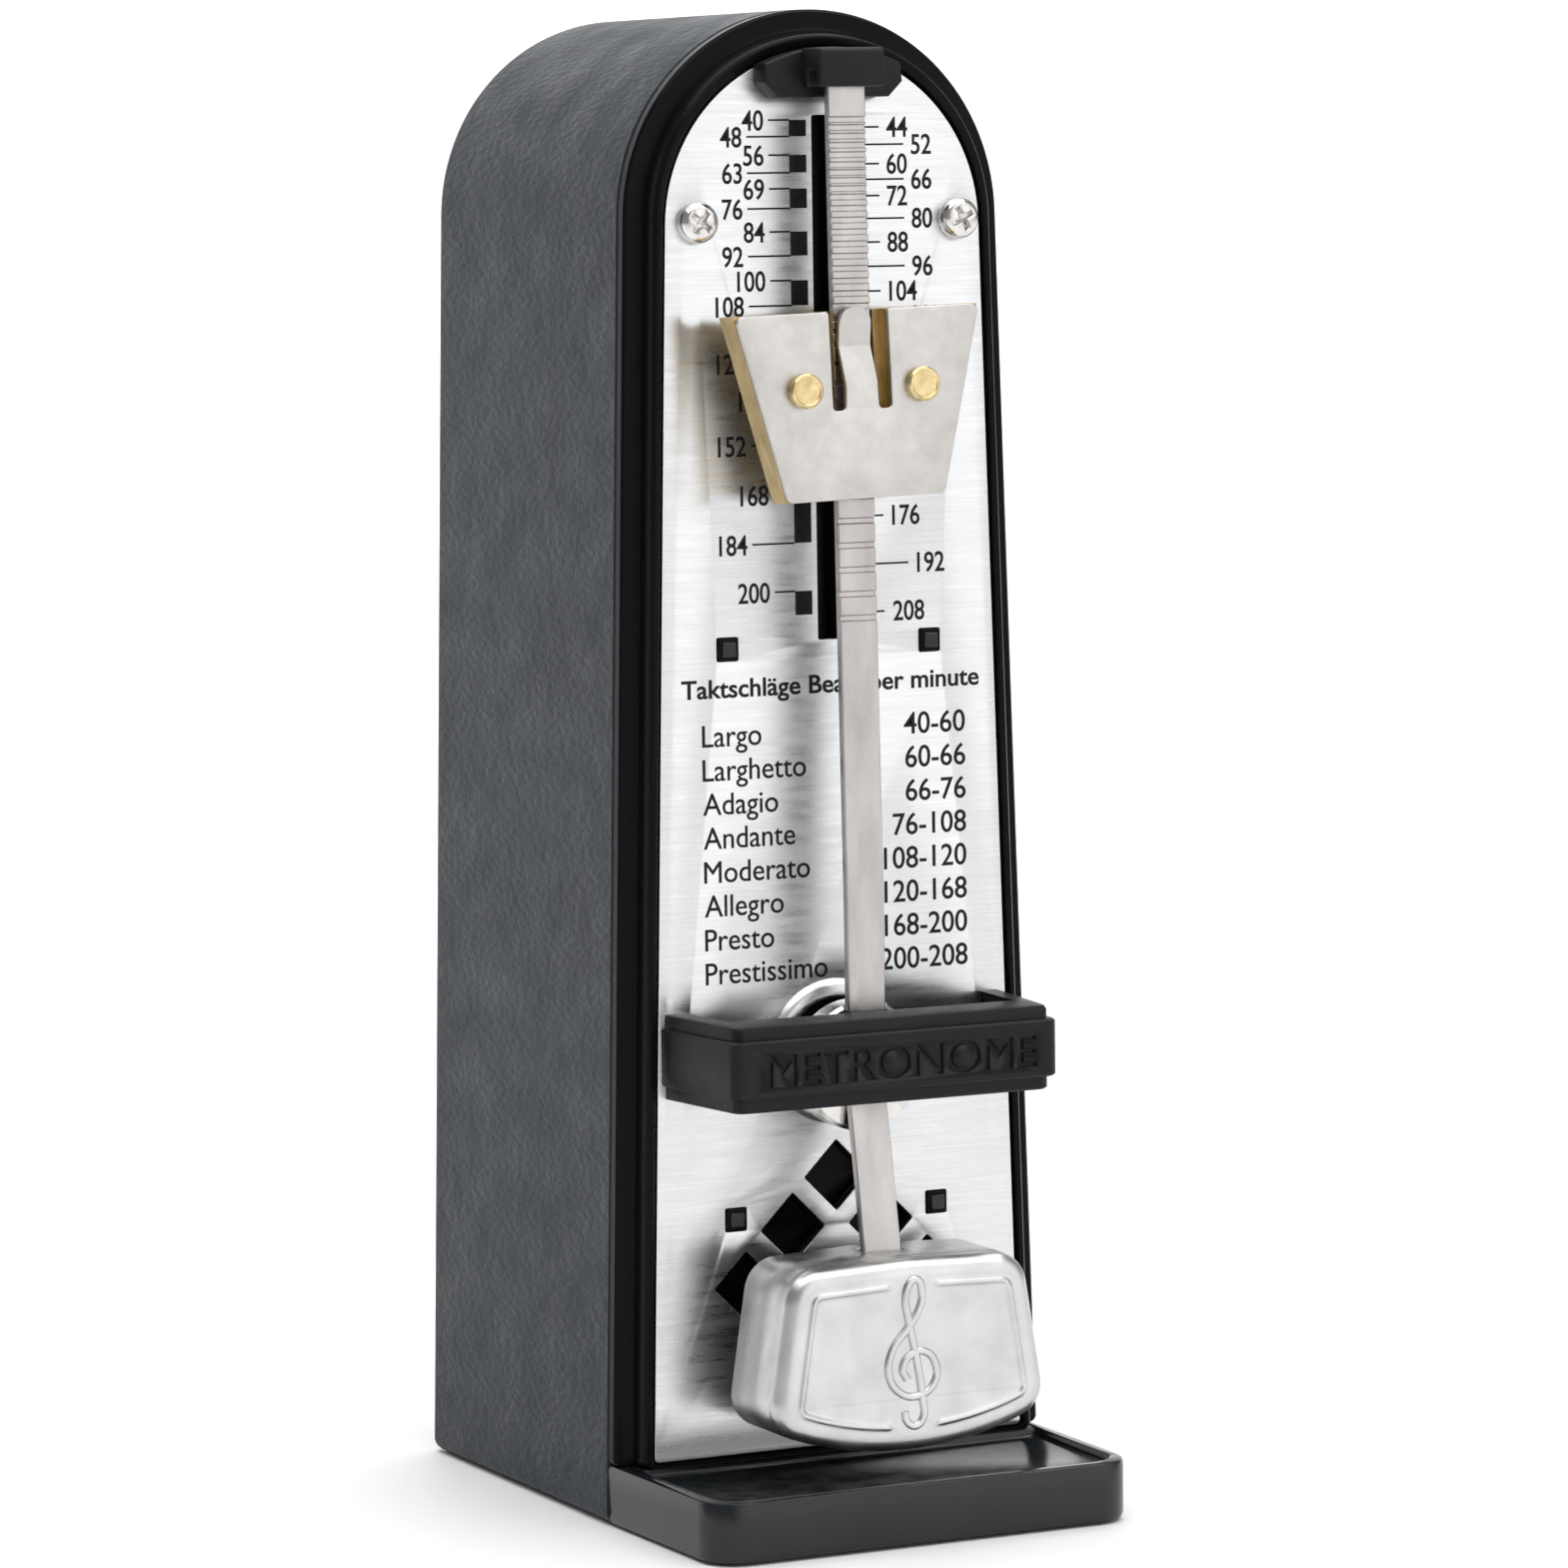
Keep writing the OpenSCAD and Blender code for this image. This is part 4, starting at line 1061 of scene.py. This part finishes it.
def lights():
    """A soft sky, brightest at the front right, a large light above and a wash on the backdrop."""
    world = bpy.data.worlds.new("studio")
    world.use_nodes = True
    tree = world.node_tree
    glow = tree.nodes["Background"].inputs
    glow["Color"].default_value = (1, 1, 1, 1)
    where = tree.nodes.new("ShaderNodeTexCoord")
    toward = tree.nodes.new("ShaderNodeVectorMath")
    toward.operation = "DOT_PRODUCT"
    toward.inputs[1].default_value = Vector((0.43, -0.88, 0.15)).normalized()
    falloff = tree.nodes.new("ShaderNodeMapRange")
    falloff.interpolation_type = "SMOOTHSTEP"
    falloff.inputs["From Min"].default_value = 0.5
    falloff.inputs["From Max"].default_value = 0.97
    falloff.inputs["To Min"].default_value = 0.28
    falloff.inputs["To Max"].default_value = 1.45
    tree.links.new(where.outputs["Generated"], toward.inputs[0])
    tree.links.new(toward.outputs["Value"], falloff.inputs["Value"])
    tree.links.new(falloff.outputs["Result"], glow["Strength"])
    bpy.context.scene.world = world
    area_light("ceiling", (0, 50, 1300), (0, 250, 0), 1800, 1800, 24)
    area_light("backdrop", (0, 300, 900), (0, 1200, 150), 1600, 300, 5)


def camera():
    """The studio camera: a long lens a little above the object's middle, front left of it."""
    azimuth, pitch, roll = math.radians(-25.711), math.radians(5.58), math.radians(-0.842)
    place = Vector((-209.43, -424.72, 98.32)) * MM
    level = Vector((-math.sin(azimuth), math.cos(azimuth), 0))
    forward = level * math.cos(pitch) - Vector((0, 0, math.sin(pitch)))
    right = forward.cross(Vector((0, 0, 1))).normalized()
    up = right.cross(forward)
    turned_right = right * math.cos(roll) + up * math.sin(roll)
    turned_up = up * math.cos(roll) - right * math.sin(roll)
    data = bpy.data.cameras.new("camera")
    data.sensor_width = 36
    data.lens = 148.8
    data.shift_x, data.shift_y = 0.0207, 0.0135
    data.clip_start, data.clip_end = 0.01, 20
    obj = bpy.data.objects.new("camera", data)
    bpy.context.scene.collection.objects.link(obj)
    m = Matrix((turned_right, turned_up, -forward)).transposed().to_4x4()
    m.translation = place
    obj.matrix_world = m
    bpy.context.scene.camera = obj


rear_shell()
front_frame()
foot_tray()
dial_plate()
dial_print()
dial_screws()
name_bar()
rod_catch()
pendulum_rod()
rod_hub()
bob()
weight()
winding_key()
kept_nodes()
stage()
lights()
camera()
bpy.context.scene.view_settings.view_transform = "Standard"
